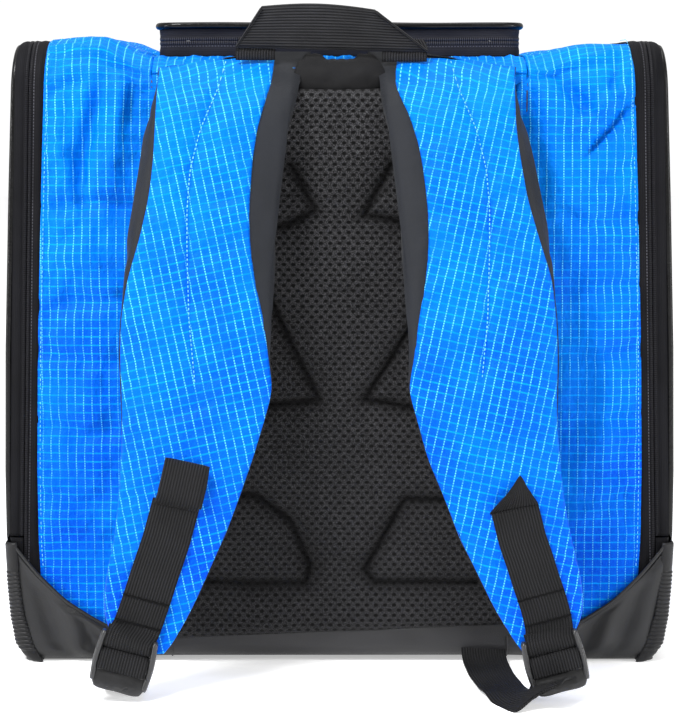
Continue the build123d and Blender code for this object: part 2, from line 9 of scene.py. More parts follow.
import bpy
import bmesh
import numpy as np
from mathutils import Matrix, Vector


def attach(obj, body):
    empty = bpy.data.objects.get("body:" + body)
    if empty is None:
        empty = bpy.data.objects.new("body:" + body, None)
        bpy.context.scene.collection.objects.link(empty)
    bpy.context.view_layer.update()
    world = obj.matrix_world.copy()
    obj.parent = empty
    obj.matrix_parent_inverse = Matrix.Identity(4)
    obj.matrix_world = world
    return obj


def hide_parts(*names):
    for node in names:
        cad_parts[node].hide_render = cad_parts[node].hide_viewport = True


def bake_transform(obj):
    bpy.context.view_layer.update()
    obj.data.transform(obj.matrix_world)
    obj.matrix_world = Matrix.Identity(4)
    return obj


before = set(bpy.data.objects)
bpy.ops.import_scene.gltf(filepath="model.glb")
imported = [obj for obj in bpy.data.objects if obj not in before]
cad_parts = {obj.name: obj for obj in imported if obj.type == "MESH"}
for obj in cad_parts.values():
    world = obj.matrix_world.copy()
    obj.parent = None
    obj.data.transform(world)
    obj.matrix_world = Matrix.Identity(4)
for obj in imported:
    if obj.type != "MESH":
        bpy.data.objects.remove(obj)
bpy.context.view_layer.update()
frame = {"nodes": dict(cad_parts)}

MM = 0.001                                  # metres in a millimetre
SIDES = (("left", -1.0), ("right", 1.0))    # name, sign of x
ENDS = (("rear", -1), ("front", 1))         # name, sign of y

# ------------------------------------------------------------------ widths of the bag
# height, half width of the bag
HALF_WIDTHS = [(3, 205.5), (12, 210.8), (30, 213.9), (50, 215.4), (80, 216.8), (125, 217.0),
               (205, 215.5), (305, 212.0), (390, 208.5), (404, 207.8)]
WIDTH_Z, WIDTH_X = np.array(HALF_WIDTHS, float).T
# The door zip's slit is a straight line: height, x
SLIT_FOOT_Z, SLIT_FOOT_X = 80.0, 205.6
SLIT_TOP_Z, SLIT_TOP_X = 404.0, 197.1


def x_out(z):
    return np.interp(z, WIDTH_Z, WIDTH_X)


def x_slit(z):
    rise = np.asarray(z, float) - SLIT_FOOT_Z
    return SLIT_FOOT_X + (SLIT_TOP_X - SLIT_FOOT_X) * rise / (SLIT_TOP_Z - SLIT_FOOT_Z)


# ------------------------------------------------------------------ curves and noise
def smooth(share):
    share = np.clip(share, 0, 1)
    return share * share * (3 - 2 * share)


def quarter(share, limit=1.0):
    """A quarter circle: 1 at share 0, falling to 0 at share 1."""
    return np.sqrt(1 - np.clip(share, 0, limit) ** 2)


def stack(*parts):
    return np.stack(np.broadcast_arrays(*parts), -1)


def grid(first, second):
    return np.meshgrid(first, second, indexing="ij")


def unit(vectors):
    return vectors / (np.linalg.norm(vectors, axis=-1, keepdims=True) + 1e-12)


def wave(seed, scale, stretch_x=1.0, stretch_y=1.0):
    """Seeded smooth noise over x and y, about -1.5 to 1.5: a sum of plane waves."""
    count = 22
    draw = np.random.RandomState(seed)
    angle = draw.uniform(0, 2 * np.pi, count)
    rate = 2 * np.pi / scale * draw.uniform(0.55, 1.7, count)
    rates_x, rates_y = rate * np.cos(angle) * stretch_x, rate * np.sin(angle) * stretch_y
    phases = draw.uniform(0, 2 * np.pi, count)
    weight = 1 / math.sqrt(count)

    def height(x, y):
        x, y = np.broadcast_arrays(np.asarray(x, float), np.asarray(y, float))
        total = np.zeros(x.shape)
        for rate_x, rate_y, phase in zip(rates_x, rates_y, phases):
            total += np.sin(rate_x * x + rate_y * y + phase)
        return total * weight * 1.2
    return height


def line_distance(x, y, line):
    """Distance from points to a polyline, and the share of the way along it."""
    best = np.full(np.shape(x), 1e9)
    along = np.zeros(np.shape(x))
    total = sum(math.dist(a, b) for a, b in zip(line, line[1:]))
    run = 0.0
    for (ax, ay), (bx, by) in zip(line, line[1:]):
        dx, dy = bx - ax, by - ay
        square = dx * dx + dy * dy
        share = np.clip(((x - ax) * dx + (y - ay) * dy) / square, 0, 1)
        distance = np.hypot(x - ax - share * dx, y - ay - share * dy)
        along = np.where(distance < best, (run + share * math.sqrt(square)) / total, along)
        best = np.minimum(best, distance)
        run += math.sqrt(square)
    return best, along


def fold(x, y, line, height, width, taper=0.25):
    """A ridge (height > 0) or valley (height < 0) along a polyline, fading at both ends."""
    distance, along = line_distance(x, y, line)
    fade = smooth(along / taper) * smooth((1 - along) / taper)
    return height * np.exp(-(distance / width) ** 2) * (0.35 + 0.65 * fade)


def arclen(path):
    steps = np.linalg.norm(np.diff(path, axis=0), axis=1)
    return np.concatenate([[0], np.cumsum(steps)])


def resample(points, count, endpoint=True):
    """The same polyline with evenly spaced points."""
    points = np.asarray(points, float)
    lengths = arclen(points)
    wanted = np.linspace(0, lengths[-1], count, endpoint=endpoint)
    return np.stack([np.interp(wanted, lengths, column) for column in points.T], -1)


def dense(points, step, smoothing=0):
    length = arclen(np.asarray(points, float))[-1]
    path = resample(points, max(int(length / step), 3) + 1)
    for _ in range(smoothing):
        path[1:-1] = (path[:-2] + 2 * path[1:-1] + path[2:]) / 4
    return path


def rounded_rect(x0, x1, y0, y1, radii, step):
    """Outline of a rectangle; radii are bottom left, bottom right, top right, top left."""
    points = []
    corners = ((x0, y0, 180), (x1, y0, 270), (x1, y1, 0), (x0, y1, 90))
    for (x, y, start), radius in zip(corners, radii):
        middle_x = x + (radius if x == x0 else -radius)
        middle_y = y + (radius if y == y0 else -radius)
        count = max(3, int(radius * 1.57 / step) + 2)
        for angle in np.radians(np.linspace(start, start + 90, count)):
            points.append((middle_x + radius * math.cos(angle),
                           middle_y + radius * math.sin(angle)))
    points.append(points[0])
    return dense(points, step)[:-1]


def rings_inward(count, power):
    """Sizes of a cushion's rings, from its edge nearly to its middle."""
    return np.clip(1 - np.linspace(0, 0.985, count) ** power, 0.012, 1)


# ------------------------------------------------------------------ meshes
def make(name, vertices, faces, uv=None, mats=(), slots=None):
    """A smooth-shaded object from points in mm; nothing goes below the floor."""
    vertices = np.array(vertices, float)
    vertices[:, 2] = np.maximum(vertices[:, 2], 0.0)
    mesh = bpy.data.meshes.new(name)
    mesh.from_pydata((vertices * MM).tolist(), [], [tuple(int(i) for i in f) for f in faces])
    for mat in mats:
        mesh.materials.append(mat)
    if slots is not None:
        mesh.polygons.foreach_set("material_index", np.asarray(slots, np.int32))
    if uv is not None:
        layer = mesh.uv_layers.new(name="UVMap")
        corners = np.zeros(len(mesh.loops), np.int32)
        mesh.loops.foreach_get("vertex_index", corners)
        layer.data.foreach_set("uv", np.asarray(uv, np.float32)[corners].ravel())
    mesh.polygons.foreach_set("use_smooth", np.ones(len(mesh.polygons), bool))
    mesh.update()
    piece = bpy.data.objects.new(name, mesh)
    bpy.context.scene.collection.objects.link(piece)
    return piece


def fix_normals(piece):
    work = bmesh.new()
    work.from_mesh(piece.data)
    bmesh.ops.recalc_face_normals(work, faces=work.faces)
    work.to_mesh(piece.data)
    work.free()


def facing(points, out):
    """Normals of a grid turned towards out, and whether they had to be turned."""
    normals = unit(np.cross(np.gradient(points, axis=0), np.gradient(points, axis=1)))
    wanted = out(points) if callable(out) else np.asarray(out, float)
    turned = (normals * wanted).sum() < 0
    return (-normals if turned else normals), turned


def quads(index):
    return stack(index[:-1, :-1], index[1:, :-1], index[1:, 1:], index[:-1, 1:]).reshape(-1, 4)


def wrapped(index):
    return np.concatenate([index, index[:, :1]], 1)


def shell(name, points, uv, thickness, mats, out):
    """A closed sheet. points is its outer face as a grid; the thickness goes inwards.
    out is a rough outward direction. A second material covers the inner face."""
    rows, cols, _ = points.shape
    count = rows * cols
    normals, turned = facing(points, out)
    thickness = np.broadcast_to(np.asarray(thickness, float), (rows, cols))[..., None]
    vertices = np.concatenate([points.reshape(-1, 3),
                               (points - normals * thickness).reshape(-1, 3)])
    index = np.arange(count).reshape(rows, cols)
    outer = quads(index)
    inner = outer[:, [0, 3, 2, 1]] + count
    rim = np.concatenate([index[:-1, 0], index[-1, :-1], index[:0:-1, -1], index[0, :0:-1]])
    after = np.roll(rim, -1)
    faces = np.concatenate([outer, inner, stack(after, rim, rim + count, after + count)])
    if turned:
        faces = faces[:, ::-1]
    slots = np.zeros(len(faces))
    slots[len(outer):2 * len(outer)] = len(mats) - 1
    return make(name, vertices, faces, np.concatenate([uv.reshape(-1, 2)] * 2), mats, slots)


def skin(name, sections, caps, uv, cap_uv, mats, reverse=False):
    """A closed skin over a row of closed sections, with one cap point at each end."""
    rows, around, _ = sections.shape
    count = rows * around
    index = np.arange(count).reshape(rows, around)
    after = np.roll(index, -1, axis=1)
    faces = [tuple(face) for face in quads(wrapped(index))]
    faces += [(index[0, k], after[0, k], count) for k in range(around)]
    faces += [(after[-1, k], index[-1, k], count + 1) for k in range(around)]
    if reverse:
        faces = [face[::-1] for face in faces]
    vertices = np.concatenate([sections.reshape(-1, 3), caps])
    piece = make(name, vertices, faces, np.concatenate([uv.reshape(-1, 2), cap_uv]), mats)
    fix_normals(piece)
    return piece


def tube(name, path, radius, mats, up, sides, squash=(1.0, 1.0)):
    path = np.asarray(path, float)
    radius = np.broadcast_to(np.asarray(radius, float), (len(path),))
    along = unit(np.gradient(path, axis=0))
    first = unit(np.cross(along, np.broadcast_to(np.asarray(up, float), path.shape)))
    second = np.cross(first, along)
    angles = np.linspace(0, 2 * np.pi, sides, endpoint=False)
    turn = angles[None, :, None]
    sections = path[:, None] + radius[:, None, None] * (
        first[:, None] * np.cos(turn) * squash[0] + second[:, None] * np.sin(turn) * squash[1])
    lengths = arclen(path)
    return skin(name, sections, path[[0, -1]],
                stack(angles[None] * radius.mean(), lengths[:, None]),
                [[0, 0], [0, lengths[-1]]], mats, reverse=True)


def tape(name, path, across, width, thickness, mats, out, columns=13, ripple=None):
    """Flat webbing along a path, thinner at its edges. across is the direction across it."""
    path = np.asarray(path, float)
    across = np.broadcast_to(np.asarray(across, float), path.shape)
    share = np.linspace(-0.5, 0.5, columns)
    points = path[:, None] + across[:, None] * (share[None, :, None] * width)
    normals, _ = facing(points, out)
    body = thickness * (0.55 + 0.45 * (1 - np.abs(2 * share) ** 8))
    points = points + normals * (body / 2)[None, :, None]
    uv = stack(share[None] * width, arclen(path)[:, None])
    if ripple is not None:
        points = points + normals * ripple(uv[..., 0], uv[..., 1])[..., None]
    return shell(name, points, uv, body, mats, out)


def cloth(points, pin, shrink, pressure, cap, out, wrap=False):
    """Runs the cloth solver on an open sheet and gives back its new points. pin is the
    share of each point held by a seam, cap the furthest a point may travel."""
    frames, mass, stiffness = 20, 0.3, 15.0
    rows, cols, _ = points.shape
    index = np.arange(rows * cols).reshape(rows, cols)
    faces = quads(wrapped(index) if wrap else index)
    if facing(points, out)[1]:
        faces = faces[:, ::-1]
    sheet = make("cloth_work", points.reshape(-1, 3), faces)
    group = sheet.vertex_groups.new(name="seam")
    pin = np.round(np.broadcast_to(pin, (rows, cols)).ravel(), 1)
    for level in np.unique(pin):
        if level > 0:
            group.add([int(k) for k in np.where(pin == level)[0]], float(level), "REPLACE")
    solver = sheet.modifiers.new("cloth", "CLOTH")
    settings = solver.settings
    settings.quality = 6
    settings.mass = mass
    settings.tension_stiffness = stiffness
    settings.compression_stiffness = stiffness
    settings.shear_stiffness = stiffness
    settings.bending_stiffness = 0.4
    settings.use_pressure = True
    settings.uniform_pressure_force = pressure
    settings.shrink_min = shrink
    settings.vertex_group_mass = "seam"
    settings.effector_weights.gravity = 0.0
    solver.collision_settings.use_collision = False
    solver.point_cache.frame_start = 1
    solver.point_cache.frame_end = frames
    scene = bpy.context.scene
    for number in range(1, frames + 1):
        scene.frame_set(number)
    result = sheet.evaluated_get(bpy.context.evaluated_depsgraph_get())
    mesh = result.to_mesh()
    flat = np.zeros(len(mesh.vertices) * 3)
    mesh.vertices.foreach_get("co", flat)
    result.to_mesh_clear()
    scene.frame_set(1)
    used = sheet.data
    bpy.data.objects.remove(sheet)
    bpy.data.meshes.remove(used)
    moved = flat.reshape(rows, cols, 3) / MM - points
    length = np.linalg.norm(moved, axis=2, keepdims=True)
    return points + moved * (cap * np.tanh(length / cap) / (length + 1e-9))


def cushion(name, outline, place, rings, mats, sim=None):
    """A closed cushion over an outline. place(share, a, b, inside) gives the 3-D points:
    share is 1 at the edge and 0 in the middle, inside is 0 on the outer face and 1 on the
    inner one. sim holds cloth settings. A second material covers the inner face."""
    middle = (outline.min(0) + outline.max(0)) / 2
    count, depth = len(outline), len(rings)
    layers, uvs = [], []
    for inside in (0, 1):
        for share in rings:
            flat = middle + (outline - middle) * share
            layers.append(place(np.full(count, share), flat[:, 0], flat[:, 1], inside))
            uvs.append(flat)
    for inside in (0, 1):
        layers.append(place(np.zeros(1), middle[:1], middle[1:], inside))
        uvs.append(middle[None])
    if sim:
        outer = np.stack(layers[:depth])
        pin = np.where(np.asarray(rings, float)[:, None] > 0.965, 1.0, 0.0)
        moved = cloth(outer, pin, wrap=True, **sim) - outer
        for k in range(depth):
            layers[k] = layers[k] + moved[k]
            layers[depth + k] = layers[depth + k] + moved[k]
        for k in (2 * depth, 2 * depth + 1):
            layers[k] = layers[k] + moved[-1].mean(0)
    index = np.arange(2 * depth * count).reshape(2, depth, count)
    faces, slots = [], []
    for inside in (0, 1):
        part = []
        for near, far in zip(index[inside], index[inside, 1:]):
            part += zip(near, np.roll(near, -1), np.roll(far, -1), far)
        last = index[inside, -1]
        pair = (last, np.roll(last, -1))
        if inside:
            part = [face[::-1] for face in part]
            pair = pair[::-1]
        part += [(a, b, 2 * depth * count + inside) for a, b in zip(*pair)]
        faces += part
        slots += [inside * (len(mats) - 1)] * len(part)
    upper, lower = index[:, 0]
    faces += zip(np.roll(upper, -1), upper, lower, np.roll(lower, -1))
    slots += [0] * count
    piece = make(name, np.concatenate(layers), faces, np.concatenate(uvs), mats, slots)
    fix_normals(piece)
    return piece


def stitch_row(name, stitches, radius, carry=None):
    """Short six-sided threads. A stitch is its two ends and the two axes across it;
    carry moves the finished points."""
    angles = np.linspace(0, 2 * np.pi, 6, endpoint=False)
    vertices, faces = [], []
    for ends, first, second in stitches:
        base = len(vertices)
        vertices += [end + first * radius * math.cos(angle) + second * radius * math.sin(angle)
                     for end in ends for angle in angles]
        for k in range(6):
            after = (k + 1) % 6
            faces.append((base + k, base + after, base + 6 + after, base + 6 + k))
        faces.append(tuple(range(base, base + 6))[::-1])
        faces.append(tuple(range(base + 6, base + 12)))
    vertices = np.array(vertices)
    piece = make(name, carry(vertices) if carry else vertices, faces, None, [THREAD])
    fix_normals(piece)
    return piece


def label(piece, nodes, slot):
    if nodes:
        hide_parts(*nodes)


def put(piece, body, *nodes, slot):
    """The piece rides on a body and stands in for the given CAD nodes."""
    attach(piece, body)
    label(piece, nodes, slot)


def bend(piece, first, second, start, end, *nodes, slot):
    """Bakes the piece's transform and hides the given CAD nodes; the two bodies and the two points
    are not used.
    """
    tuple(v * MM for v in start)
    tuple(v * MM for v in end)
    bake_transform(piece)
    label(piece, nodes, slot)


# ------------------------------------------------------------------ shader building blocks
def feed(tree, value, socket):
    if isinstance(value, Value):
        tree.links.new(value.socket, socket)
    elif isinstance(value, tuple):
        socket.default_value = (*value, 1.0)
    else:
        socket.default_value = value


class Value:
    """A shader output that can stand in a sum; every operation adds a Math node."""

    def __init__(self, tree, socket):
        self.tree, self.socket = tree, socket

    def math(self, kind, first, second=0.0):
        node = self.tree.nodes.new("ShaderNodeMath")
        node.operation = kind
        feed(self.tree, first, node.inputs[0])
        feed(self.tree, second, node.inputs[1])
        return Value(self.tree, node.outputs[0])

    def __add__(self, other):
        return self.math("ADD", self, other)

    def __radd__(self, other):
        return self.math("ADD", other, self)

    def __sub__(self, other):
        return self.math("SUBTRACT", self, other)

    def __rsub__(self, other):
        return self.math("SUBTRACT", other, self)

    def __mul__(self, other):
        return self.math("MULTIPLY", self, other)

    def __truediv__(self, other):
        return self.math("DIVIDE", self, other)

    def __pow__(self, other):
        return self.math("POWER", self, other)

    def __abs__(self):
        return self.math("ABSOLUTE", self)

    def sine(self):
        return self.math("SINE", self)

    def fract(self):
        return self.math("FRACT", self)

    def clamped(self):
        self.socket.node.use_clamp = True
        return self


def fade(ratio):
    """1 up to ratio 0, falling to 0 at ratio 1."""
    return (1.0 - ratio.clamped()).clamped()


def lines(coord, pitch, half, soft):
    """1 on lines at every pitch; half is half their width, soft their edge."""
    distance = abs((coord / pitch + 100.0).fract() - 0.5) * pitch
    return fade((distance - half) / soft)


def scaled(colour, factor):
    return tuple(factor * channel for channel in colour)


class Surface:
    """A Principled material. UV coordinates are in mm, object coordinates in metres."""

    def __init__(self, name, roughness, specular, sheen=0.0):
        self.material = bpy.data.materials.new(name)
        self.material.use_nodes = True
        self.tree = self.material.node_tree
        self.shader = self.tree.nodes["Principled BSDF"]
        self.source = None
        self.set("Roughness", roughness)
        self.set("Specular IOR Level", specular)
        if sheen:
            self.set("Sheen Weight", sheen)
            self.set("Sheen Roughness", 0.4)

    def set(self, name, value):
        self.shader.inputs[name].default_value = value

    def new(self, kind):
        return self.tree.nodes.new("ShaderNode" + kind)

    def value(self, socket):
        return Value(self.tree, socket)

    def axes(self, kind):
        """The three coordinates of kind "UV" or "Object"."""
        if self.source is None:
            self.source = self.new("TexCoord")
        split = self.new("SeparateXYZ")
        self.tree.links.new(self.source.outputs[kind], split.inputs[0])
        return [self.value(socket) for socket in split.outputs]

    def mix(self, factor, first, second):
        node = self.new("Mix")
        node.data_type = "RGBA"
        for value, k in ((factor, 0), (first, 6), (second, 7)):
            feed(self.tree, value, node.inputs[k])
        return self.value(node.outputs[2])

    def noise(self, scale, detail=3.0, roughness=0.5, low=0.35, high=0.65):
        """Noise, with the span from low to high stretched to 0..1."""
        node = self.new("TexNoise")
        node.inputs["Scale"].default_value = scale
        node.inputs["Detail"].default_value = detail
        node.inputs["Roughness"].default_value = roughness
        self.tree.links.new(self.new("TexCoord").outputs["Object"], node.inputs["Vector"])
        span = self.new("MapRange")
        self.tree.links.new(node.outputs[0], span.inputs[0])
        span.inputs[1].default_value = low
        span.inputs[2].default_value = high
        return self.value(span.outputs[0])

    def bump(self, height, distance, strength, under=None):
        node = self.new("Bump")
        node.inputs["Distance"].default_value = distance
        node.inputs["Strength"].default_value = strength
        feed(self.tree, height, node.inputs["Height"])
        if under is not None:
            feed(self.tree, under, node.inputs["Normal"])
        return self.value(node.outputs[0])

    def finish(self, colour, normal=None, roughness=None):
        inputs = (("Base Color", colour), ("Normal", normal), ("Roughness", roughness))
        for name, value in inputs:
            if value is not None:
                feed(self.tree, value, self.shader.inputs[name])
        return self.material


# ------------------------------------------------------------------ materials
def ripstop(name, dark=1.0, dim=0.0):
    """Blue cloth with a grid of thicker threads, in painted shade low down and painted light high
    up. dark scales the colours; dim hides the pale threads low on the bag."""
    deep, high = scaled((0.0, 0.048, 0.58), dark), scaled((0.0, 0.170, 0.66), dark)
    speckle = scaled((0.0, 0.165, 0.72), dark)
    weft_blue, warp_blue = scaled((0.0, 0.33, 0.85), dark), scaled((0.0, 0.25, 0.80), dark)
    pale = (0.13, 0.62, 0.88)
    surface = Surface(name, roughness=0.62, specular=0.045)
    u, v, _ = surface.axes("UV")
    broad = surface.noise(scale=22.0, detail=2.0)
    fine = surface.noise(scale=900.0, detail=2.0)
    # 0 at the bag's foot, 1 at its top (m); it paints the blue lighter upwards, as light from above
    # would
    rise = ((surface.axes("Object")[2] - 0.06) / 0.34).clamped()
    warp = lines(u, pitch=5.4, half=0.20, soft=0.26)
    weft = lines(v, pitch=5.4, half=0.26, soft=0.42)
    dots = lines(v, pitch=1.6, half=0.32, soft=0.28)
    # how far the warp's dots and the weft show
    dots_seen = surface.noise(scale=75.0, detail=2.0, low=0.36, high=0.56) * 0.72 + 0.28
    weft_seen = surface.noise(scale=60.0, detail=2.0) * 0.35 + 0.22
    if dim:
        dots_seen = dots_seen * ((1.0 - dim) + rise * (1.25 * dim)).clamped()
        weft_seen = (weft_seen + (1.0 - rise) * (0.25 * dim)).clamped()
    # deep is the blue in painted shade, high the blue in painted light; height and random patches
    # mix them
    colour = surface.mix(rise * 0.6 + broad * 0.4, deep, high)
    colour = surface.mix(fine * 0.25, colour, speckle)
    colour = surface.mix(weft * weft_seen, colour, weft_blue)
    colour = surface.mix(warp * 0.16, colour, warp_blue)
    colour = surface.mix(warp * dots * dots_seen, colour, pale)
    # thick threads stand proud of a fine weave, over soft creases
    weave = (u * 11.0).sine() * (v * 11.0).sine()
    height = warp * 0.7 + weft * 0.6 + weave * 0.16
    creases = surface.bump(surface.noise(scale=55.0, detail=4.0, roughness=0.6),
                           distance=0.0022, strength=0.45)
    return surface.finish(colour, surface.bump(height, 0.00022, 0.8, under=creases),
                          roughness=0.44 + broad * 0.14)


def webbing(name, lift=1.0):
    """Ribbed black webbing; lift scales the colours."""
    rib_pitch, pick_pitch = 1.75, 0.95
    low, high = scaled((0.0010, 0.0010, 0.0012), lift), scaled((0.0195, 0.0195, 0.0215), lift)
    surface = Surface(name, roughness=0.62, specular=0.13, sheen=0.02)
    u, v, _ = surface.axes("UV")
    rib = abs((u * (math.pi / rib_pitch)).sine())
    pick = abs((v * (math.pi / pick_pitch) + u * 1.8).sine())    # cross threads, slanted
    broad = surface.noise(scale=40.0)
    tone = rib ** 1.5 * (0.5 + pick * 0.6)
    colour = surface.mix(tone * (0.55 + broad * 0.45), low, high)
    normal = surface.bump(rib * 0.75 + pick * 0.35, distance=0.0007, strength=1.0)
    return surface.finish(colour, normal, roughness=0.5 + broad * 0.16)


def spacer_mesh(name):
    """Black knit with rows of oval holes; the groove shade attribute paints shade into the grooves,
    and the pale specks are painted brighter high up as light from above.
    """
    cell_x, cell_y = 5.9, 6.7
    squeeze_x, squeeze_y = 1.28, 0.98       # shape the holes into ovals
    hole_radius, hole_soft = 0.86, 0.5
    shadow, shadow_lit = (0.0048, 0.0047, 0.0056), (0.0115, 0.0113, 0.0128)
    knit_pale, hole_black = (0.094, 0.094, 0.100), (0.0006, 0.0006, 0.0007)
    groove_shade_black = (0.0008, 0.0008, 0.0010)
    surface = Surface(name, roughness=0.75, specular=0.15, sheen=0.02)
    u, v, _ = surface.axes("UV")

    def lattice(phase):
        across = ((u / cell_x + (100.0 + phase)).fract() - 0.5) * (cell_x / squeeze_x)
        up = ((v / cell_y + (100.0 + phase)).fract() - 0.5) * (cell_y / squeeze_y)
        total = across * across + up * up
        return total.math("SQRT", total)
    nearest = u.math("MINIMUM", lattice(0.0), lattice(0.5))
    hole = fade((nearest - hole_radius) / hole_soft)
    knit = surface.noise(scale=1300.0, roughness=0.7)
    base = surface.mix(surface.noise(scale=16.0), shadow, shadow_lit)
    rise = ((surface.axes("Object")[2] - 0.08) / 0.26).clamped()    # 0 low, 1 high (m)
    groove_shade = surface.new("Attribute")
    groove_shade.attribute_name = "groove_shade"
    # The pale specks grow brighter higher on the pad: painted light from above.
    colour = surface.mix(knit ** 2.2 * (0.42 + rise * 0.58), base, knit_pale)
    colour = surface.mix(hole, colour, hole_black)
    # painted shade in the grooves
    colour = surface.mix(surface.value(groove_shade.outputs["Fac"]) * 0.82, colour, groove_shade_black)
    height = (1.0 - hole) * 1.0 + knit * 0.35
    return surface.finish(colour, surface.bump(height, distance=0.0011, strength=0.9))


def plain_cloth(name, low, high, roughness, weave, specular=0.3, sheen=0.15, relief=0.75):
    """Plain woven cloth. weave scales its thread count, relief the depth of its bump."""
    rate = 6.3 * weave
    surface = Surface(name, roughness, specular, sheen)
    u, v, _ = surface.axes("UV")
    threads = 0.5 + (u * rate).sine() * (v * rate).sine() * 0.5
    broad = surface.noise(scale=28.0)
    creases = surface.bump(surface.noise(scale=70.0, detail=4.0), distance=0.0012, strength=0.35)
    return surface.finish(surface.mix(threads * 0.45 + broad * 0.55, low, high),
                          surface.bump(threads, 0.0002, relief, under=creases),
                          roughness=(roughness - 0.06) + broad * 0.12)


def zip_tape(name, lift=1.0):
    """Zip tape with its coil: u is the distance from the slit, v runs along the zip.
    lift scales the colours."""
    cloth_low = scaled((0.0018, 0.0018, 0.0024), lift)
    cloth_high = scaled((0.0090, 0.0090, 0.0112), lift)
    gap, tooth = (0.002, 0.002, 0.0023), scaled((0.015, 0.015, 0.018), lift)
    thread = (0.13, 0.13, 0.15)
    coil_half, coil_soft = 2.0, 0.35
    stitch_place, stitch_soft = 3.4, 0.4
    surface = Surface(name, roughness=0.6, specular=0.07)
    u, v, _ = surface.axes("UV")
    away = abs(u)
    coil = fade((away - coil_half) / coil_soft)
    teeth = lines(v, pitch=1.35, half=0.32, soft=0.22)
    rib = abs((away * (math.pi / 1.15)).sine())         # ribs 1.15 apart
    pick = abs((v * 3.6 + away * 2.4).sine())           # slanted cross threads
    broad = surface.noise(scale=35.0)
    stitch = fade(abs(u + stitch_place) / stitch_soft) * lines(v, pitch=2.0, half=0.4, soft=0.3)
    cloth_tone = (rib * 0.5 + pick * 0.5) * (0.5 + broad * 0.5)
    colour = surface.mix(coil, surface.mix(cloth_tone, cloth_low, cloth_high),
                         surface.mix(teeth, gap, tooth))
    colour = surface.mix(stitch * (0.4 + broad * 0.5), colour, thread)
    height = coil * teeth * 1.0 + (1.0 - coil) * (pick * 0.3)
    return surface.finish(colour, surface.bump(height, distance=0.0004, strength=0.9),
                          roughness=0.62 - coil * 0.2)


def solid(name, low, high, roughness, specular, fine, depth, broad,
          coat=0.0, metal=0.0, edge=None, middle=None):
    """A moulded or coated material. fine and broad are noise scales, depth is the grain's
    depth (m), edge the colour on sharp edges, middle a painted highlight colour near x = 0."""
    lit_middle_half, lit_middle_soft = 0.095, 0.03      # m
    surface = Surface(name, roughness, specular)
    surface.set("Metallic", metal)
    if coat:
        surface.set("Coat Weight", coat)
        surface.set("Coat Roughness", 0.12)
    patches = surface.noise(scale=broad, detail=4.0)
    grain = surface.noise(scale=fine, roughness=0.6)
    colour = surface.mix(patches * 0.7 + grain * 0.3, low, high)
    # Near x = 0 the colour turns to middle, a painted highlight on the base's middle panel.
    if middle:
        away = ((abs(surface.axes("Object")[0]) - lit_middle_half) / lit_middle_soft).clamped()
        colour = surface.mix(away, surface.mix(patches, scaled(middle, 0.8), middle), colour)
    if edge:
        # Sharp convex edges turn towards the edge colour.
        sharpness = surface.value(surface.new("NewGeometry").outputs["Pointiness"])
        sharp_edge_share = ((sharpness - 0.52) * 9.0).clamped()
        colour = surface.mix(sharp_edge_share * 0.6, colour, edge)
    waves = surface.bump(patches, distance=0.0015, strength=0.25)
    return surface.finish(colour, surface.bump(grain, depth, 0.6, under=waves),
                          roughness=(roughness - 0.07) + patches * 0.14)


RIPSTOP = ripstop("ripstop_blue", dim=0.50)
RIPSTOP_STRAP = ripstop("ripstop_blue_strap", dim=0.12)
ripstop("ripstop_blue_shade", dark=0.55)        # a darker shade that no piece wears
WEBBING = webbing("webbing_ribbed")
WEBBING_HANDLE = webbing("webbing_ribbed_handle", lift=1.7)
MESH = spacer_mesh("spacer_mesh_black")
STRAP_EDGE = plain_cloth("strap_edge_cloth", (0.0100, 0.0112, 0.0140), (0.0178, 0.0195, 0.0238),
                         roughness=0.6, weave=1.6, specular=0.15, sheen=0.03, relief=0.45)
BLACK = plain_cloth("black_cloth", (0.003, 0.003, 0.0034), (0.008, 0.008, 0.009),
                    roughness=0.65, weave=1.2, specular=0.15, sheen=0.02)
LINING = plain_cloth("lining_cloth", (0.030, 0.031, 0.034), (0.055, 0.056, 0.060),
                     roughness=0.7, weave=0.8)
FOAM = plain_cloth("foam_cover", (0.018, 0.018, 0.02), (0.03, 0.03, 0.033),
                   roughness=0.7, weave=2.0)
ZIP = zip_tape("zip_tape_coil")
# The lid band wears a copy of the zip tape three times lighter: painted light that lifts it out of
# the shade under the handle.
ZIP_LID_PAINTED_LIGHT = zip_tape("zip_tape_coil_lid_painted_light", lift=3.0)
# name, low and high colour, roughness, specular, fine scale, grain depth, broad scale
PIPING = solid("piping_coated", (0.0010, 0.0010, 0.0010), (0.0026, 0.0026, 0.0030),
               0.26, 0.20, 500.0, 0.0001, 30.0, coat=0.05)
# The tarpaulin is painted lighter near x = 0: a painted highlight on the base's middle panel, with
# its corner pieces left in painted shade.
TARP = solid("tarpaulin_grey", (0.0052, 0.0053, 0.0060), (0.0100, 0.0102, 0.0114),
             0.38, 0.40, 1500.0, 0.00012, 22.0, middle=(0.0205, 0.0203, 0.0225))
RUBBER = solid("guard_rubber", (0.0026, 0.0026, 0.0030), (0.0064, 0.0064, 0.0074),
               0.48, 0.24, 1200.0, 0.00010, 60.0, edge=(0.03, 0.03, 0.032))
ACETAL = solid("acetal_black", (0.004, 0.004, 0.0045), (0.009, 0.009, 0.010),
               0.34, 0.5, 900.0, 0.00005, 90.0, edge=(0.05, 0.05, 0.053))
METAL = solid("slider_painted_metal", (0.02, 0.02, 0.021), (0.05, 0.05, 0.052),
              0.35, 0.6, 900.0, 0.00004, 200.0, metal=0.6, edge=(0.25, 0.25, 0.26))
PULL = solid("pull_moulded", (0.012, 0.012, 0.013), (0.03, 0.03, 0.032),
             0.5, 0.4, 900.0, 0.00008, 120.0)
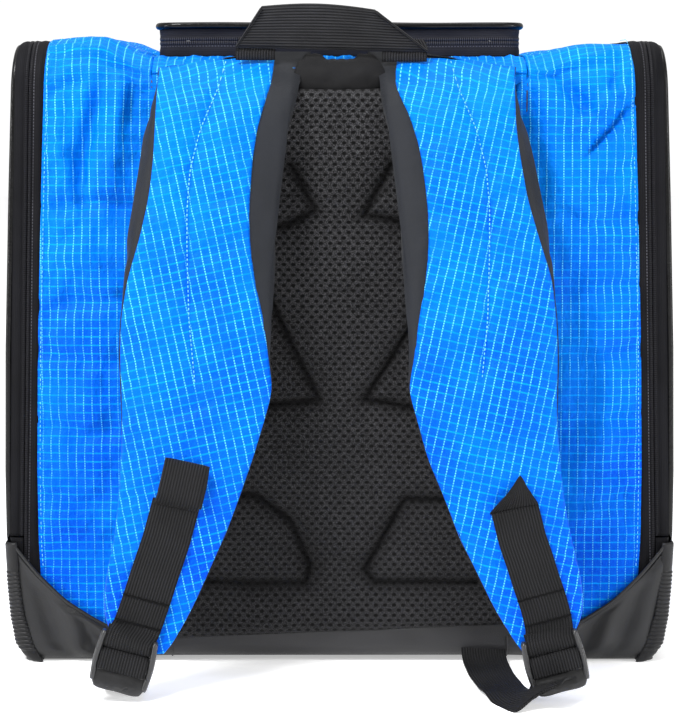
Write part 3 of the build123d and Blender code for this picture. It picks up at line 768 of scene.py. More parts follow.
SHEET = solid("polyethylene_sheet", (0.50, 0.50, 0.49), (0.66, 0.66, 0.65),
              0.45, 0.4, 300.0, 0.0001, 20.0)
THREAD = solid("thread_pale_blue", (0.08, 0.42, 0.85), (0.25, 0.70, 1.0),
               0.6, 0.3, 2000.0, 0.00005, 300.0)
# Nearly black thread for the webbing's bar tacks; it is darker than the webbing, so the rows also
# stand for the painted shade of their pressed creases.
THREAD_BLACK_CREASE_SHADE = solid("thread_black_crease_shade", (0.0008, 0.0008, 0.0010), (0.003, 0.003, 0.0034),
                     0.7, 0.1, 2000.0, 0.00005, 300.0)
LINED = (RIPSTOP, LINING)

# CAD nodes that keep their shape and only get a material
CAD_MATERIALS = (
    (METAL, ("left_door_slider", "right_door_slider", "lid_slider", "pocket_slider")),
    (PULL, ("left_door_pull", "right_door_pull", "lid_pull", "pocket_pull")),
    (SHEET, ("back_frame_sheet", "base_board")))
cad_nodes = frame["nodes"]
for mat, names in CAD_MATERIALS:
    for name in names:
        # The frame's nodes may be a dict of objects; if not, the objects go by name.
        node = cad_nodes[name] if isinstance(cad_nodes, dict) else bpy.data.objects[name]
        node.data.materials.clear()
        node.data.materials.append(mat)

# ------------------------------------------------------------------ boot compartments
HALF_DEPTH, TOP, TOP_RADIUS = 160.0, 403.0, 30.0    # the arch every boot compartment follows
DOOR_FOOT = 82.0


def arch(foot=6.0, step=3.0, arc=14):
    """The arch up the rear, over the top and down the front: y, z, the outward direction
    in y and z, and the length along it."""
    flat = HALF_DEPTH - TOP_RADIUS
    shoulder = TOP - TOP_RADIUS
    rise = np.linspace(foot, shoulder, int((shoulder - foot) / step))
    turn = np.linspace(0, np.pi / 2, arc)[1:-1]
    over = np.linspace(-flat, flat, int(2 * flat / step))
    sin, cos = np.sin(turn), np.cos(turn)
    wall, roof = np.ones(len(rise)), np.ones(len(over))
    y = np.concatenate([-HALF_DEPTH * wall, -flat - TOP_RADIUS * cos, over,
                        flat + TOP_RADIUS * sin, HALF_DEPTH * wall])
    z = np.concatenate([rise, shoulder + TOP_RADIUS * sin, TOP * roof,
                        shoulder + TOP_RADIUS * cos, rise[::-1]])
    out_y = np.concatenate([-wall, -cos, 0 * roof, sin, wall])
    out_z = np.concatenate([0 * wall, sin, roof, cos, 0 * wall])
    return y, z, out_y, out_z, arclen(np.stack([y, z], -1))


# Folds of the rear face, by side: points (x, z), height, width
FOLDS = {
    -1.0: [([(-189, 398.5), (-150, 395), (-117, 389)], 1.9, 2.2),
           ([(-189, 393), (-150, 389.5), (-120, 384)], -1.5, 4.0),
           ([(-150, 377), (-157, 356), (-164, 330), (-165, 300)], -3.8, 7.0),
           ([(-138, 381), (-142, 350), (-145, 318)], 2.4, 7.0),
           ([(-176, 381), (-180, 350), (-178, 320)], 1.6, 6.0),
           ([(-188, 368), (-172, 377), (-158, 376)], -1.8, 4.0),
           ([(-193, 297), (-150, 300), (-120, 296)], -2.2, 8.0),
           ([(-193, 262), (-150, 268), (-122, 262)], 1.6, 10.0),
           ([(-193, 233), (-160, 236), (-124, 240)], -2.0, 8.0),
           ([(-194, 204), (-160, 197), (-126, 202)], -1.8, 7.0),
           ([(-194, 160), (-165, 150), (-136, 156)], -1.6, 9.0),
           ([(-150, 220), (-160, 180), (-156, 120)], 1.3, 10.0),
           ([(-194, 110), (-170, 104), (-140, 112)], -1.3, 8.0)],
    1.0: [([(188, 399.5), (150, 394), (118, 388)], 1.9, 2.2),
          ([(188, 394), (150, 388.5), (122, 383)], -1.6, 4.0),
          ([(189, 366), (172, 346), (155, 329)], -4.6, 3.4),
          ([(189, 376), (168, 362), (150, 345)], 3.0, 5.0),
          ([(140, 384), (150, 366), (166, 352)], -2.6, 5.5),
          ([(180, 392), (174, 376), (178, 360)], -2.6, 4.0),
          ([(128, 372), (134, 340), (140, 310)], 1.8, 7.0),
          ([(193, 330), (176, 318), (160, 306)], -1.4, 5.0),
          ([(194, 292), (160, 286), (136, 292)], -2.0, 9.0),
          ([(194, 250), (165, 244), (140, 250)], -2.2, 8.0),
          ([(194, 206), (165, 200), (140, 204)], -1.8, 8.0),
          ([(194, 165), (170, 158), (142, 162)], -1.6, 9.0),
          ([(165, 240), (172, 190), (170, 130)], 1.4, 10.0),
          ([(195, 112), (175, 106), (150, 110)], -1.4, 8.0)],
}


def boot_compartment(side, sign):
    """The blue cloth from the middle compartment to the door's gusset."""
    inner_edge, rear_notch, gusset = 119.4, 7.9, 21.0
    y, z, out_y, out_z, along = arch()
    share = np.linspace(0, 1, 34)
    inner = (inner_edge - rear_notch * smooth((382.0 - z) / 8.0) * (y < 0))[:, None]
    x = inner + (x_out(z)[:, None] - gusset - inner) * share[None]
    y, z, out_y, out_z, along = (np.broadcast_to(column[:, None], x.shape)
                                 for column in (y, z, out_y, out_z, along))
    hand = int(sign > 0)
    broad, fine = wave(11 + hand, 46.0), wave(21 + hand, 17.0)
    edge = (smooth(share / 0.12) * smooth((1 - share) / 0.12))[None]
    free = smooth((z - 60.0) / 40.0)            # held flat by the base below
    bulge = 0.9 * np.sin(np.pi * share)[None]
    height = (bulge + 0.8 * broad(x, along) + 0.3 * fine(x, along)) * edge * (0.15 + 0.85 * free)
    rear = smooth((-y - 118.0) / 25.0)
    for line, rise, width in FOLDS[sign]:
        height = height + (fold(x * sign, z, line, 2.1 * rise, width * 0.8) * rear
                           * (0.2 + 0.8 * free) * (0.3 + 0.7 * edge))
    # the front borrows the other side's folds, mirrored and softer
    front = smooth((y - 118.0) / 25.0)
    for line, rise, width in FOLDS[-sign]:
        height = height + (fold(-x * sign, z * 0.94 + 12, line, rise * 0.5, width)
                           * front * free * edge)
    dip = 10.5 * smooth((157.0 - x) / 37.0)
    depth = -0.5 if sign < 0 else -4.5
    sag = depth * np.sin(np.pi * np.clip((x - 122) / 74, 0, 1)) ** 0.7 * out_z
    points = stack(sign * x, y + out_y * height, z + out_z * height * 0.6 - dip * out_z + sag)
    hold = np.where((share < 0.02) | (share > 0.98), 1.0, 0.0)[None] + np.where(z < 40, 1.0, 0.0)
    out = stack(0 * out_y, out_y, out_z)
    points = cloth(points, np.clip(hold, 0, 1), shrink=-0.035, pressure=2.0, cap=3.4, out=out)
    limit = 160.3 + 6.0 * smooth((points[..., 2] - 78.0) / 22.0)
    points[..., 1] = np.clip(points[..., 1], -limit, limit)
    put(shell(f"{side}_boot_compartment", points, stack(x * sign, along), 1.5, LINED, out),
        "bag", f"{side}_boot_shell", slot="ripstop")


def divider(side, sign):
    """Upright cloth between a boot compartment and the middle one."""
    half, straight, foot = 159.25, 130, 9
    corner = np.linspace(straight, half, 16)[1:]
    y = np.concatenate([np.linspace(-half, -straight, 16)[:-1],
                        np.linspace(-straight, straight, 48), corner])
    y, share = grid(y, np.linspace(0, 1, 70))
    top = 372.4 + 19.4 * quarter((np.abs(y) - straight) / 30, limit=29.9 / 30)
    z = foot + (top - foot) * share
    points = stack(sign * (120.0 + 0.3 * wave(31, 120.0)(y, z)), y, z)
    put(shell(f"{side}_divider_cloth", points, stack(y, z), 0.9, [LINING], (sign, 0, 0)),
        "bag", f"{side}_divider", slot="lining")


def coil(distance, height):
    """Height of a zip's coil at a distance from its slit."""
    return height * np.exp(-((np.abs(distance) - 1.5) / 0.85) ** 4)


def body_tape_height(outward):
    inward = -outward
    swell = 0.9 * smooth((inward - 3) / 4.0) * smooth((9.6 - inward) / 2.5) * 0.8
    return -0.5 + coil(inward, 0.65) + swell


def door_tape_height(outward):
    turn = quarter((outward - 3.6) / 7.6, limit=0.97)       # rounds into the side panel
    return -0.5 + coil(outward, 0.65) + 0.5 * smooth((outward - 2.6) / 2) - 7.0 * (1 - turn)


def zip_band(name, sign, foot, ends, columns, height):
    """Half of a door zip's gusset. ends(gap) gives the distance of its first and last
    column from the bag's side, gap being that of the slit."""
    y, z, out_y, out_z, along = (column[:, None] for column in arch(foot, step=2.6, arc=18))
    first, last = ends(x_out(z) - x_slit(z))
    inset = first + (last - first) * np.linspace(0, 1, columns)[None]
    x = x_out(z) - inset
    wobble = -0.12 * (1 + np.sin(wave(41 + int(sign > 0), 60.0)(inset * 2, along)))
    lift = height(x - x_slit(z)) + wobble
    return shell(name, stack(sign * x, y + out_y * lift, z + out_z * lift),
                 stack(x - x_slit(z), along), 1.1, [ZIP], stack(0 * out_y, out_y, out_z))


def gusset_foot(side, sign, place, end):
    """The fixed foot of the gusset below the door, outside the slit's line."""
    z, share = grid(np.linspace(14, DOOR_FOOT, 24), np.linspace(0, 1, 8))
    start = x_slit(z) + 0.3
    x = start + (x_out(z) - 1.8 - x_slit(z) - 0.3) * share
    inset = 5.5 * (1 - quarter((share - 0.35) / 0.67, limit=0.97))
    put(shell(f"{side}_gusset_foot_{place}", stack(sign * x, end * (159.6 - inset), z),
              stack(x - x_slit(z) + 3, z), 1.0, [ZIP], (0, end, 0)),
        "bag", slot="zip_tape")


def door_piping(side, sign):
    y, z, out_y, out_z, _ = arch(foot=DOOR_FOOT, step=3.5, arc=16)
    inset = -4.6
    path = stack(sign * (x_out(z) - 1.7), y + out_y * inset, z + out_z * inset)
    put(tube(f"{side}_door_edge_piping", path, 2.25, [PIPING], up=(1, 0, 0), sides=14),
        f"{side}_door", f"{side}_door_piping", slot="piping")


def door_panel(side, sign):
    """The puffed side panel of the door."""
    outline = rounded_rect(-156.2, 156.2, 82.8, 399.6, (4, 4, 25, 25), step=5.0)
    broad, fine = wave(51, 90.0, stretch_y=0.7), wave(52, 34.0)

    def place(share, y, z, inside):
        puff = 5.0 * (1 - share ** 2.6)
        wrinkle = (1.4 * broad(y * sign, z) + 0.5 * fine(y, z)) * smooth((1 - share) / 0.4)
        lift = 0.2 + puff + wrinkle - (1.6 if inside else 0.0)
        return stack(sign * (x_out(z) - 1.6 + lift * (0.9 if inside else 1.0)), y, z)
    panel = cushion(f"{side}_door_side_panel", outline, place, rings_inward(36, 1.35), LINED,
                    sim=dict(shrink=-0.03, pressure=1.4, cap=1.3, out=(sign, 0, 0)))
    put(panel, f"{side}_door", f"{side}_door_panel", slot="ripstop")


def door_fold(side, sign):
    """Cloth fold at the foot of the door."""
    y, z = grid(np.linspace(-152, 152, 90), np.linspace(73.0, 90.0, 19))
    bulge = 0.5 * np.sin((z - 73) / 17 * np.pi) + 0.12 * wave(61, 30)(y, z)
    piece = shell(f"{side}_door_fold_cloth", stack(sign * (x_out(z) + 0.35 + bulge), y, z),
                  stack(y, z), 0.9, [BLACK], (sign, 0, 0))
    bend(piece, "bag", f"{side}_door", (sign * 216.8, 0, 78.2), (sign * 216.8, 0, 82.8),
         slot="zip_tape")


for side, sign in SIDES:
    boot_compartment(side, sign)
    divider(side, sign)
    put(zip_band(f"{side}_zip_band_inner", sign, 14.0, lambda gap: (21.4, gap + 0.08), 16,
                 body_tape_height),
        "bag", f"{side}_zip_body_tape", slot="zip_tape")
    put(zip_band(f"{side}_zip_band_outer", sign, 83.0, lambda gap: (gap - 0.12, 1.6), 18,
                 door_tape_height),
        f"{side}_door", f"{side}_zip_door_tape", slot="zip_tape")
    for place, end in ENDS:
        gusset_foot(side, sign, place, end)
    door_piping(side, sign)
    door_panel(side, sign)
    door_fold(side, sign)

# ------------------------------------------------------------------ middle compartment
PANEL_HALF, PANEL_FOOT = 119.0, 7
RIM_HALF = 119.2

# rear panel
x, z = grid(np.linspace(-PANEL_HALF, PANEL_HALF, 60), np.linspace(PANEL_FOOT, 382.8, 80))
put(shell("rear_panel_cloth", stack(x, -159.4, z), stack(x, z), 1.0, LINED, (0, -1, 0)),
    "bag", "rear_panel", slot="ripstop")

# front panel, nearly flat where the pocket covers it
x, z = grid(np.linspace(-PANEL_HALF, PANEL_HALF, 70), np.linspace(PANEL_FOOT, 391.6, 100))
wrinkle = wave(71, 60.0)(x, z) * 0.8 + wave(72, 24.0)(x, z) * 0.3
under_pocket = (abs(x) < 97) & (z > 90) & (z < 342)
wrinkle = (wrinkle * smooth((PANEL_HALF - abs(x)) / 15) * smooth((z - 40) / 40)
           * np.where(under_pocket, 0.2, 1.0))
put(shell("front_panel_cloth", stack(x, 159.2 + wrinkle, z), stack(x, z), 1.0, LINED,
          (0, 1, 0)),
    "bag", "front_panel", slot="ripstop")

# rear rim, gathered between the back seam and the lid band
x, share = grid(np.linspace(-RIM_HALF, RIM_HALF, 130), np.linspace(0, 1, 22))
bow = np.sin(np.pi * share)
gather = (0.45 * np.sin(x * 0.9 + 3 * np.sin(x * 0.07)) * bow
          + 0.9 * wave(73, 26.0, stretch_x=1.6)(x, share * 38) * bow)
y = -160.4 + 38.6 * share - 1.0 * np.sin(np.pi * np.clip(share * 2, 0, 1))
# The bow's last value rounds to just above zero, so its power is safe.
z = 383.4 + 9.4 * share + 3.2 * bow ** 0.8 + gather - 0.8 * (1 - smooth(share / 0.1))
put(shell("top_rim_rear_cloth", stack(x, y, z), stack(x, share * 40 + 384), 1.2, LINED,
          (0, -0.3, 1)),
    "bag", "top_rim_rear", slot="ripstop")

# front rim: its section (y, z)
FRONT_RIM = [(160.6, 391.0), (159.4, 396.0), (155.5, 400.8), (150.0, 404.0), (145.5, 405.9),
             (141.0, 406.8)]
section = dense(FRONT_RIM, step=1.6, smoothing=3)
points = stack(np.linspace(-RIM_HALF, RIM_HALF, 90)[:, None], section[:, 0], section[:, 1])
points[..., 2] += 0.5 * wave(74, 22.0)(points[..., 0], points[..., 1])
put(shell("top_rim_front_cloth", points, stack(points[..., 0], arclen(section) + 392), 1.2,
          LINED, (0, 1, 1)),
    "bag", "top_rim_front", slot="ripstop")

# ------------------------------------------------------------------ back pad
# Grooves pressed into the pad, as (x, z)
GROOVES = [
    [(-31.4, 324.4), (-15.6, 295.9), (-34.7, 286.3)],
    [(33.3, 324.4), (16.2, 292.7), (38.5, 288.3)],
    [(-46.0, 244.0), (-41.2, 232.0), (-12.5, 174.0), (-44.6, 170.8)],
    [(48.0, 232.0), (45.1, 219.2), (16.0, 174.0), (45.3, 168.8)],
    [(-70.0, 112.0), (-54.5, 112.2), (-32.0, 95.8), (-19.1, 66.3), (-22.0, 54.4), (-88.0, 54.4)],
    [(72.0, 108.9), (42.2, 108.9), (16.5, 63.0), (23.0, 54.4), (88.0, 54.4)],
    [(-34.7, 286.3), (-60.0, 284.0)],
    [(38.5, 288.3), (60.0, 286.0)]]
PAD_HALF, PAD_TOP, PAD_THICK, PAD_ROUND = 111, 373.0, 9.6, 9.0


def back_pad():
    x, share = grid(np.linspace(-PAD_HALF, PAD_HALF, 150), np.linspace(0, 1, 236))
    foot = 20.6 + 0.042 * x
    z = foot + (PAD_TOP - foot) * share
    edge = np.minimum(np.minimum(PAD_HALF - np.abs(x), z - foot), PAD_TOP - z)
    groove = np.zeros(x.shape)
    for line in GROOVES:
        distance, _ = line_distance(x, z, line)
        depth = -3.2 * np.exp(-(distance / 2.3) ** 2) - 2.8 * np.exp(-(distance / 8.0) ** 2)
        groove = np.minimum(groove, depth)
    puff = 1.1 * wave(81, 70.0)(x, z) + 0.35 * wave(82, 26.0)(x, z)
    height = PAD_THICK * quarter(1 - edge / PAD_ROUND) + (groove + puff) * smooth(edge / 10.0)
    points = stack(x, -162.9 - np.maximum(height, 0.2), z)
    pad = shell("back_pad_spacer_mesh", points, stack(x, z), 1.2, [MESH], (0, -1, 0))
    # how deep in a groove each vertex lies, for the shade the material paints there
    flat = np.empty(len(pad.data.vertices) * 3)
    pad.data.vertices.foreach_get("co", flat)
    vertices = flat.reshape(-1, 3) / MM
    groove_shade = np.zeros(len(vertices))
    for line in GROOVES:
        distance, _ = line_distance(vertices[:, 0], vertices[:, 2], line)
        shade = 0.75 * np.exp(-(distance / 2.4) ** 2) + 0.38 * np.exp(-(distance / 8.0) ** 2)
        groove_shade = np.maximum(groove_shade, shade)
    layer = pad.data.attributes.new("groove_shade", "FLOAT", "POINT")
    layer.data.foreach_set("value", np.clip(groove_shade, 0, 1).astype(np.float32))
    put(pad, "bag", "back_pad_mesh", slot="spacer_mesh")


def foam_place(share, x, z, inside):
    return stack(x, -163.0 if inside else -163.8 + 0.3 * share ** 6, z)


def strap_yoke():
    """The patch over the straps' roots: its section (y, z), narrowing upwards."""
    section = dense([(-165.4, 368.6), (-166.9, 373.5), (-167.0, 380.0), (-165.6, 385.4),
                     (-161.2, 389.2), (-154.0, 391.2)], step=1.1, smoothing=3)
    across, row = grid(np.linspace(-1, 1, 46), np.arange(len(section)))
    up = row / (len(section) - 1)
    x = across * (33.0 - 8.6 * up)
    y = (section[row, 0] + 4.4 * np.abs(across) ** 3 * smooth((1 - up) / 0.3)
         - 0.3 * wave(83, 14.0)(x, up * 24))
    shoulders = smooth((np.abs(x) - 8.0) / 5.0) * smooth((25.0 - np.abs(x)) / 4.0)
    z = section[row, 1] + 3.4 * shoulders * up ** 5 + 0.25 * np.sin(x * 1.1) * up ** 3
    put(shell("strap_yoke_patch", stack(x, y, z), stack(x * 0.9, up * 24), 1.2, [BLACK],
              (0, -1, 0.3)),
        "bag", "strap_yoke", slot="tarpaulin")


back_pad()
put(cushion("back_pad_foam_core", rounded_rect(-104, 104, 30, 366, (12,) * 4, step=7.0),
            foam_place, [1, 0.985, 0.95, 0.8, 0.5, 0.2], [FOAM]),
    "bag", "back_pad_foam", slot="foam")
strap_yoke()

# ------------------------------------------------------------------ coated base
# Top edge of the base on its rear and front faces: distance from the middle, height
BASE_EDGE = [(0.0, 21.5), (50.0, 18.5), (101.0, 15.0), (140.0, 18.5), (159.0, 28.0),
             (179.0, 41.0), (197.0, 59.0), (211.9, 78.0)]
BASE_HALF_X, BASE_HALF_Y, BASE_RADIUS = 214.2, 162.4, 9.0
BASE_TOP = 78.0
# Upright folds near the corners: distance from the middle, height, width
BASE_FOLDS = ((148, -2.6, 4.0), (156, 2.2, 4.5), (167, -2.4, 4.5), (178, 1.6, 6.0),
              (190, -1.6, 5.0))


def pad_line(x):
    """Height of the base's rear edge, along the foot of the back pad."""
    return 22.4 + 0.046 * x


def near_pad(x):
    return smooth((122 - np.abs(x)) / 12)


def base_walls():
    plan = rounded_rect(-BASE_HALF_X, BASE_HALF_X, -BASE_HALF_Y, BASE_HALF_Y,
                        (BASE_RADIUS,) * 4, step=3.0)
    along = np.roll(plan, -1, 0) - np.roll(plan, 1, 0)
    out = unit(stack(along[:, 1], -along[:, 0]))
    out = out * np.sign((out * plan).sum(1))[:, None]
    around = arclen(np.vstack([plan, plan[:1]]))[:-1]
    x, y = plan[:, :1], plan[:, 1:]
    share = np.linspace(0, 1, 30)[None]
    on_end = smooth((np.abs(y) - 150.0) / 10.0)     # 1 on the rear and front faces
    edge = np.interp(np.abs(x), *np.array(BASE_EDGE).T)
    edge = np.where(y < -150, edge + (pad_line(x) - edge) * near_pad(x), edge)
    top = np.where(np.abs(y) > 150, edge, BASE_TOP)
    low = 3.0 - 2.7 * smooth((np.abs(x) - 118) / 55)
    z = low + (top - low) * share
    inset = BASE_RADIUS * (1 - quarter((low + BASE_RADIUS - z) / BASE_RADIUS)) * 0.85
    corner = smooth((np.abs(x) - 130) / 40) * on_end
    length = around[:, None]
    lift = ((1.5 * wave(91, 38.0, stretch_y=0.35)(length, z) * (0.3 + 0.7 * corner)
             + 0.5 * wave(92, 90.0)(length, z))
            * smooth(share / 0.25) * smooth((1 - share) / 0.12) * smooth((z - 8) / 18))
    lean = (z - 30) * 0.22
    for fold_x, height, width in BASE_FOLDS:
        ridge = np.exp(-((np.abs(x) - fold_x - lean) / width) ** 2)
        lift = lift + (1.35 * height * ridge * on_end
                       * smooth(share / 0.25) * smooth((1 - share) / 0.2))
    lift = np.maximum(lift, -1.4 + 0.15 * lift)
    offset = np.maximum(1.0 + lift - inset, -7.5)
    width = x_out(z) / BASE_HALF_X
    points = stack(x * width + out[:, :1] * offset, y + out[:, 1:] * offset, z)
    points = np.concatenate([points, points[:1]])
    uv = stack(np.append(around, around[-1] + 3)[:, None], share * 60)
    put(shell("base_tarpaulin_walls", points, uv, 1.4, (TARP, LINING), points * (1, 1, 0)),
        "bag", "base_rear_wall", "base_front_wall", "base_left_wall", "base_right_wall",
        slot="tarpaulin")


def floor_place(share, x, y, inside):
    ripple = 0.35 * wave(93, 80.0)(x, y) * (1 - share ** 4) * 0.6
    return stack(x, y, 4.9 if inside else 3.1 + ripple + 0.5 * (1 - share))


def base_binding(place, end):
    """Binding along the base's top edge, and the two short seams below it."""
    full = [(-x, z) for x, z in reversed(BASE_EDGE)] + BASE_EDGE[1:]
    x, z = dense(full, step=3.0, smoothing=4).T
    lift = (pad_line(x) - z) * near_pad(x) if end < 0 else 0.0
    put(tube(f"base_binding_{place}", stack(x, end * 163.7, z + lift - 0.2), 1.0, [TARP],
             up=(0, 1, 0), sides=8, squash=(1.2, 0.7)),
        "bag", slot="tarpaulin")
    for mark, x in (("l", -109.4), ("r", 109.4)):
        path = dense([(x, end * 163.7, 17.5), (x, end * 163.6, 10.0), (x, end * 161.9, 6.0),
                      (x, end * 159.0, 3.6)], step=1.2, smoothing=2)
        put(tube(f"base_seam_{place}_{mark}", path, 0.65, [TARP], up=(1, 0, 0), sides=8),
            "bag", slot="tarpaulin")


base_walls()
put(cushion("base_tarpaulin_floor", rounded_rect(-199.5, 199.5, -155.6, 155.6, (9,) * 4, 6.0),
            floor_place, [1, 0.99, 0.96, 0.9, 0.8, 0.65, 0.5, 0.35, 0.2, 0.08], [TARP]),
    "bag", "base_floor", slot="tarpaulin")
for place, end in ENDS:
    base_binding(place, end)

# ------------------------------------------------------------------ corner guards
GUARD_INNER, GUARD_END = 193.5, 132.0       # smallest x and y
GUARD_FACE, GUARD_RADIUS = 164.6, 8.5
GUARD_POINTS = 26
RIB_PITCH, RIB_START = 2.64, 7.4
# height, x of the guard's inner edge
GUARD_EDGE = [(0, GUARD_INNER), (12, 199.5), (30, 205.0), (45, 207.4), (60, 208.6),
              (79.3, 209.6)]


def guard_profile(inner, outer):
    """Plan section (x, y) from the end face round the corner to the side."""
    start = inner + 0.6
    middle = max(outer - GUARD_RADIUS, start)
    radius = outer - middle
    points = [(inner, 162.2)]
    if outer - GUARD_RADIUS > start:
        points += [(x, GUARD_FACE) for x in np.linspace(start, outer - GUARD_RADIUS, 4)]
    else:
        points.append((inner + 0.3, GUARD_FACE - 0.3))
    points += [(middle + radius * math.sin(turn), GUARD_FACE - radius + radius * math.cos(turn))
               for turn in np.linspace(0, np.pi / 2, 9)[1:]]
    points += [(outer, y) for y in np.linspace(GUARD_FACE - GUARD_RADIUS - 2, GUARD_END, 6)]
    points.append((outer - 1.6, GUARD_END - 0.4))
    return resample(points, GUARD_POINTS)


def corner_guard(place, end, side, sign):
    z = np.concatenate([[0.0, 0.6, 1.6, 3.0, 4.6, 6.4], np.arange(RIB_START, 60.2, 0.325),
                        np.linspace(61, 77.6, 10), [78.4, 79.0, 79.3]])
    phase = (z - RIB_START) * 2 * np.pi / RIB_PITCH
    rib = np.where((z > 7.3) & (z < 60.3), 0.75 * (0.5 - 0.5 * np.cos(phase)) ** 0.6, 0.25)
    rib = rib - 1.6 * (1 - np.clip(z / 2.2, 0, 1)) ** 2 - 1.1 * np.clip((z - 77.6) / 1.7, 0, 1) ** 2
    inner = np.interp(z, *np.array(GUARD_EDGE).T)
    outer = x_out(np.maximum(z, 3.0)) + 1.2 - 3.5 * (1 - np.clip(z / 6, 0, 1)) ** 2
    plan = np.stack([guard_profile(*pair) for pair in zip(inner, outer)])
    points = stack(plan[..., 0], plan[..., 1], z[:, None])
    normals, _ = facing(points, (1, 1, 0))
    normals[..., 2] = 0
    fading = np.ones(GUARD_POINTS)
    fading[:2], fading[-2:] = (0.0, 0.6), (0.6, 0.0)
    points = points + unit(normals) * (rib[:, None] * fading)[..., None]
    points = points * (sign, end, 1)
    put(shell(f"{place}_{side}_corner_guard", points, points[..., [0, 2]], 1.5, [RUBBER],
              (sign, end, 0)),
        "bag", f"{place}_{side}_guard", slot="guard_rubber")

    def foot_place(share, x, y, inside):
        return stack(sign * x, end * y, 2.9 if inside else 0.02 + 0.9 * share ** 10)
    outline = rounded_rect(GUARD_INNER, 205.8, GUARD_END, 161.6, (3, 3, 6, 3), step=1.5)
    put(cushion(f"{place}_{side}_guard_foot", outline, foot_place,
                [1, 0.97, 0.9, 0.7, 0.4, 0.15], [RUBBER]),
        "bag", slot="guard_rubber")


for place, end in ENDS:
    for side, sign in SIDES:
        corner_guard(place, end, side, sign)

# ------------------------------------------------------------------ lid
LID_HALF, LID_REAR, LID_FRONT, LID_RADIUS = 118.0, -122.0, 138.5, 14.0
LID_SLIT = 403.2


def lid_path():
    """Plan of the lid's band, open at the front, and its outward directions."""
    turn = np.linspace(0, np.pi / 2, 12)[1:-1]
    corner_x, corner_y = LID_HALF - LID_RADIUS, LID_REAR + LID_RADIUS
    sin, cos = LID_RADIUS * np.sin(turn), LID_RADIUS * np.cos(turn)
    points = [(LID_HALF, LID_FRONT), (LID_HALF, corner_y),
              *zip(corner_x + cos, corner_y - sin), (corner_x, LID_REAR),
              (-corner_x, LID_REAR), *zip(-corner_x - sin, corner_y - cos),
              (-LID_HALF, corner_y), (-LID_HALF, LID_FRONT)]
    path = dense(points, step=2.6, smoothing=1)
    along = np.gradient(path, axis=0)
    out = unit(stack(-along[:, 1], along[:, 0]))
    return path, out * np.sign((out * (path - np.array([0, 8.0]))).sum(1).mean())


lid_plan, lid_out = lid_path()
lid_along = arclen(lid_plan)
lid_sag = 0.22 * wave(101, 130.0)(lid_along, 0)


def lid_band(part, low, high, rows, height):
    z = np.linspace(low, high, rows)[None]
    away = z - LID_SLIT
    length = lid_along[:, None]
    offset = height(np.abs(away)) - 0.15 * (1 + np.sin(wave(102, 40.0)(length, z * 2)))
    points = stack(lid_plan[:, :1] + lid_out[:, :1] * offset,
                   lid_plan[:, 1:] + lid_out[:, 1:] * offset, z + lid_sag[:, None])
    out = stack(lid_out[:, 0], lid_out[:, 1], 0)[:, None]
    return shell(f"lid_band_{part}", points, stack(away, length), 1.2, [ZIP_LID_PAINTED_LIGHT], out)


def lid_tape_height(away):
    return -0.1 + coil(away, 0.3)


put(lid_band("lower", 391.4, 403.15, 15,
             lambda away: lid_tape_height(away) + 0.4 * smooth((away - 3.5) / 3)
             - 1.4 * smooth((away - 9.5) / 2.4)),
    "bag", "lid_zip_body_tape", slot="zip_tape")
put(lid_band("upper", 403.25, 412.9, 12,
             lambda away: lid_tape_height(away) + 0.3 * smooth((away - 3.5) / 3)),
    "lid", "lid_zip_lid_tape", slot="zip_tape")
path = stack(lid_plan[:, 0] + lid_out[:, 0] * 0.4, lid_plan[:, 1] + lid_out[:, 1] * 0.4,
             413.0 + lid_sag)
put(tube("lid_edge_piping", path, 2.3, [PIPING], up=(0, 0, 1), sides=14),
    "lid", "lid_piping", slot="piping")


def lid_place(share, x, y, inside):
    puff = 2.2 * (1 - share ** 2) * (1 - 0.5 * smooth((y - 60) / 80))
    wrinkle = 0.6 * wave(103, 80.0)(x, y) + 0.25 * wave(104, 30.0)(x, y)
    return stack(x, y, 412.4 + puff + wrinkle * smooth((1 - share) / 0.5)
                 - (1.6 if inside else 0.0))


put(cushion("lid_top_panel", rounded_rect(-116.0, 116.0, -119.8, 138.3, (12, 12, 3, 3), 5.0),
            lid_place, rings_inward(34, 1.35), LINED,
            sim=dict(shrink=-0.03, pressure=1.2, cap=0.8, out=(0, 0, 1))),
    "lid", "lid_panel", slot="ripstop")

# cloth fold along the lid's front edge
x, share = grid(np.linspace(-114, 114, 80), np.linspace(0, 1, 16))
points = stack(x, 144.5 - 10.0 * share + 0.3 * wave(105, 20)(x, share * 10),
               405.6 + 7.6 * share + 0.8 * np.sin(np.pi * share))
bend(shell("lid_fold_cloth", points, stack(x, share * 12), 0.9, [BLACK], (0, 0.6, 0.8)),
     "bag", "lid", (0, 142.3, 406.6), (0, 137.0, 410.8), slot="zip_tape")

# ------------------------------------------------------------------ front pocket
POCKET_ZIP_Z, POCKET_ZIP_HALF = 322.0, 82


def pocket_place(share, x, z, inside):
    puff = 3.6 * (1 - share ** 2) + 0.9 * wave(111, 60.0)(x, z) + 0.35 * wave(112, 24.0)(x, z)
    below_zip = smooth((310 - z) / 25)
    height = (10.4 * quarter((share - 0.9) / 0.1)
              + puff * below_zip * smooth((1 - share) / 0.12))
    return stack(x, 160.9 + (np.maximum(height - 1.6, 0.0) * 0.98 if inside else height), z)


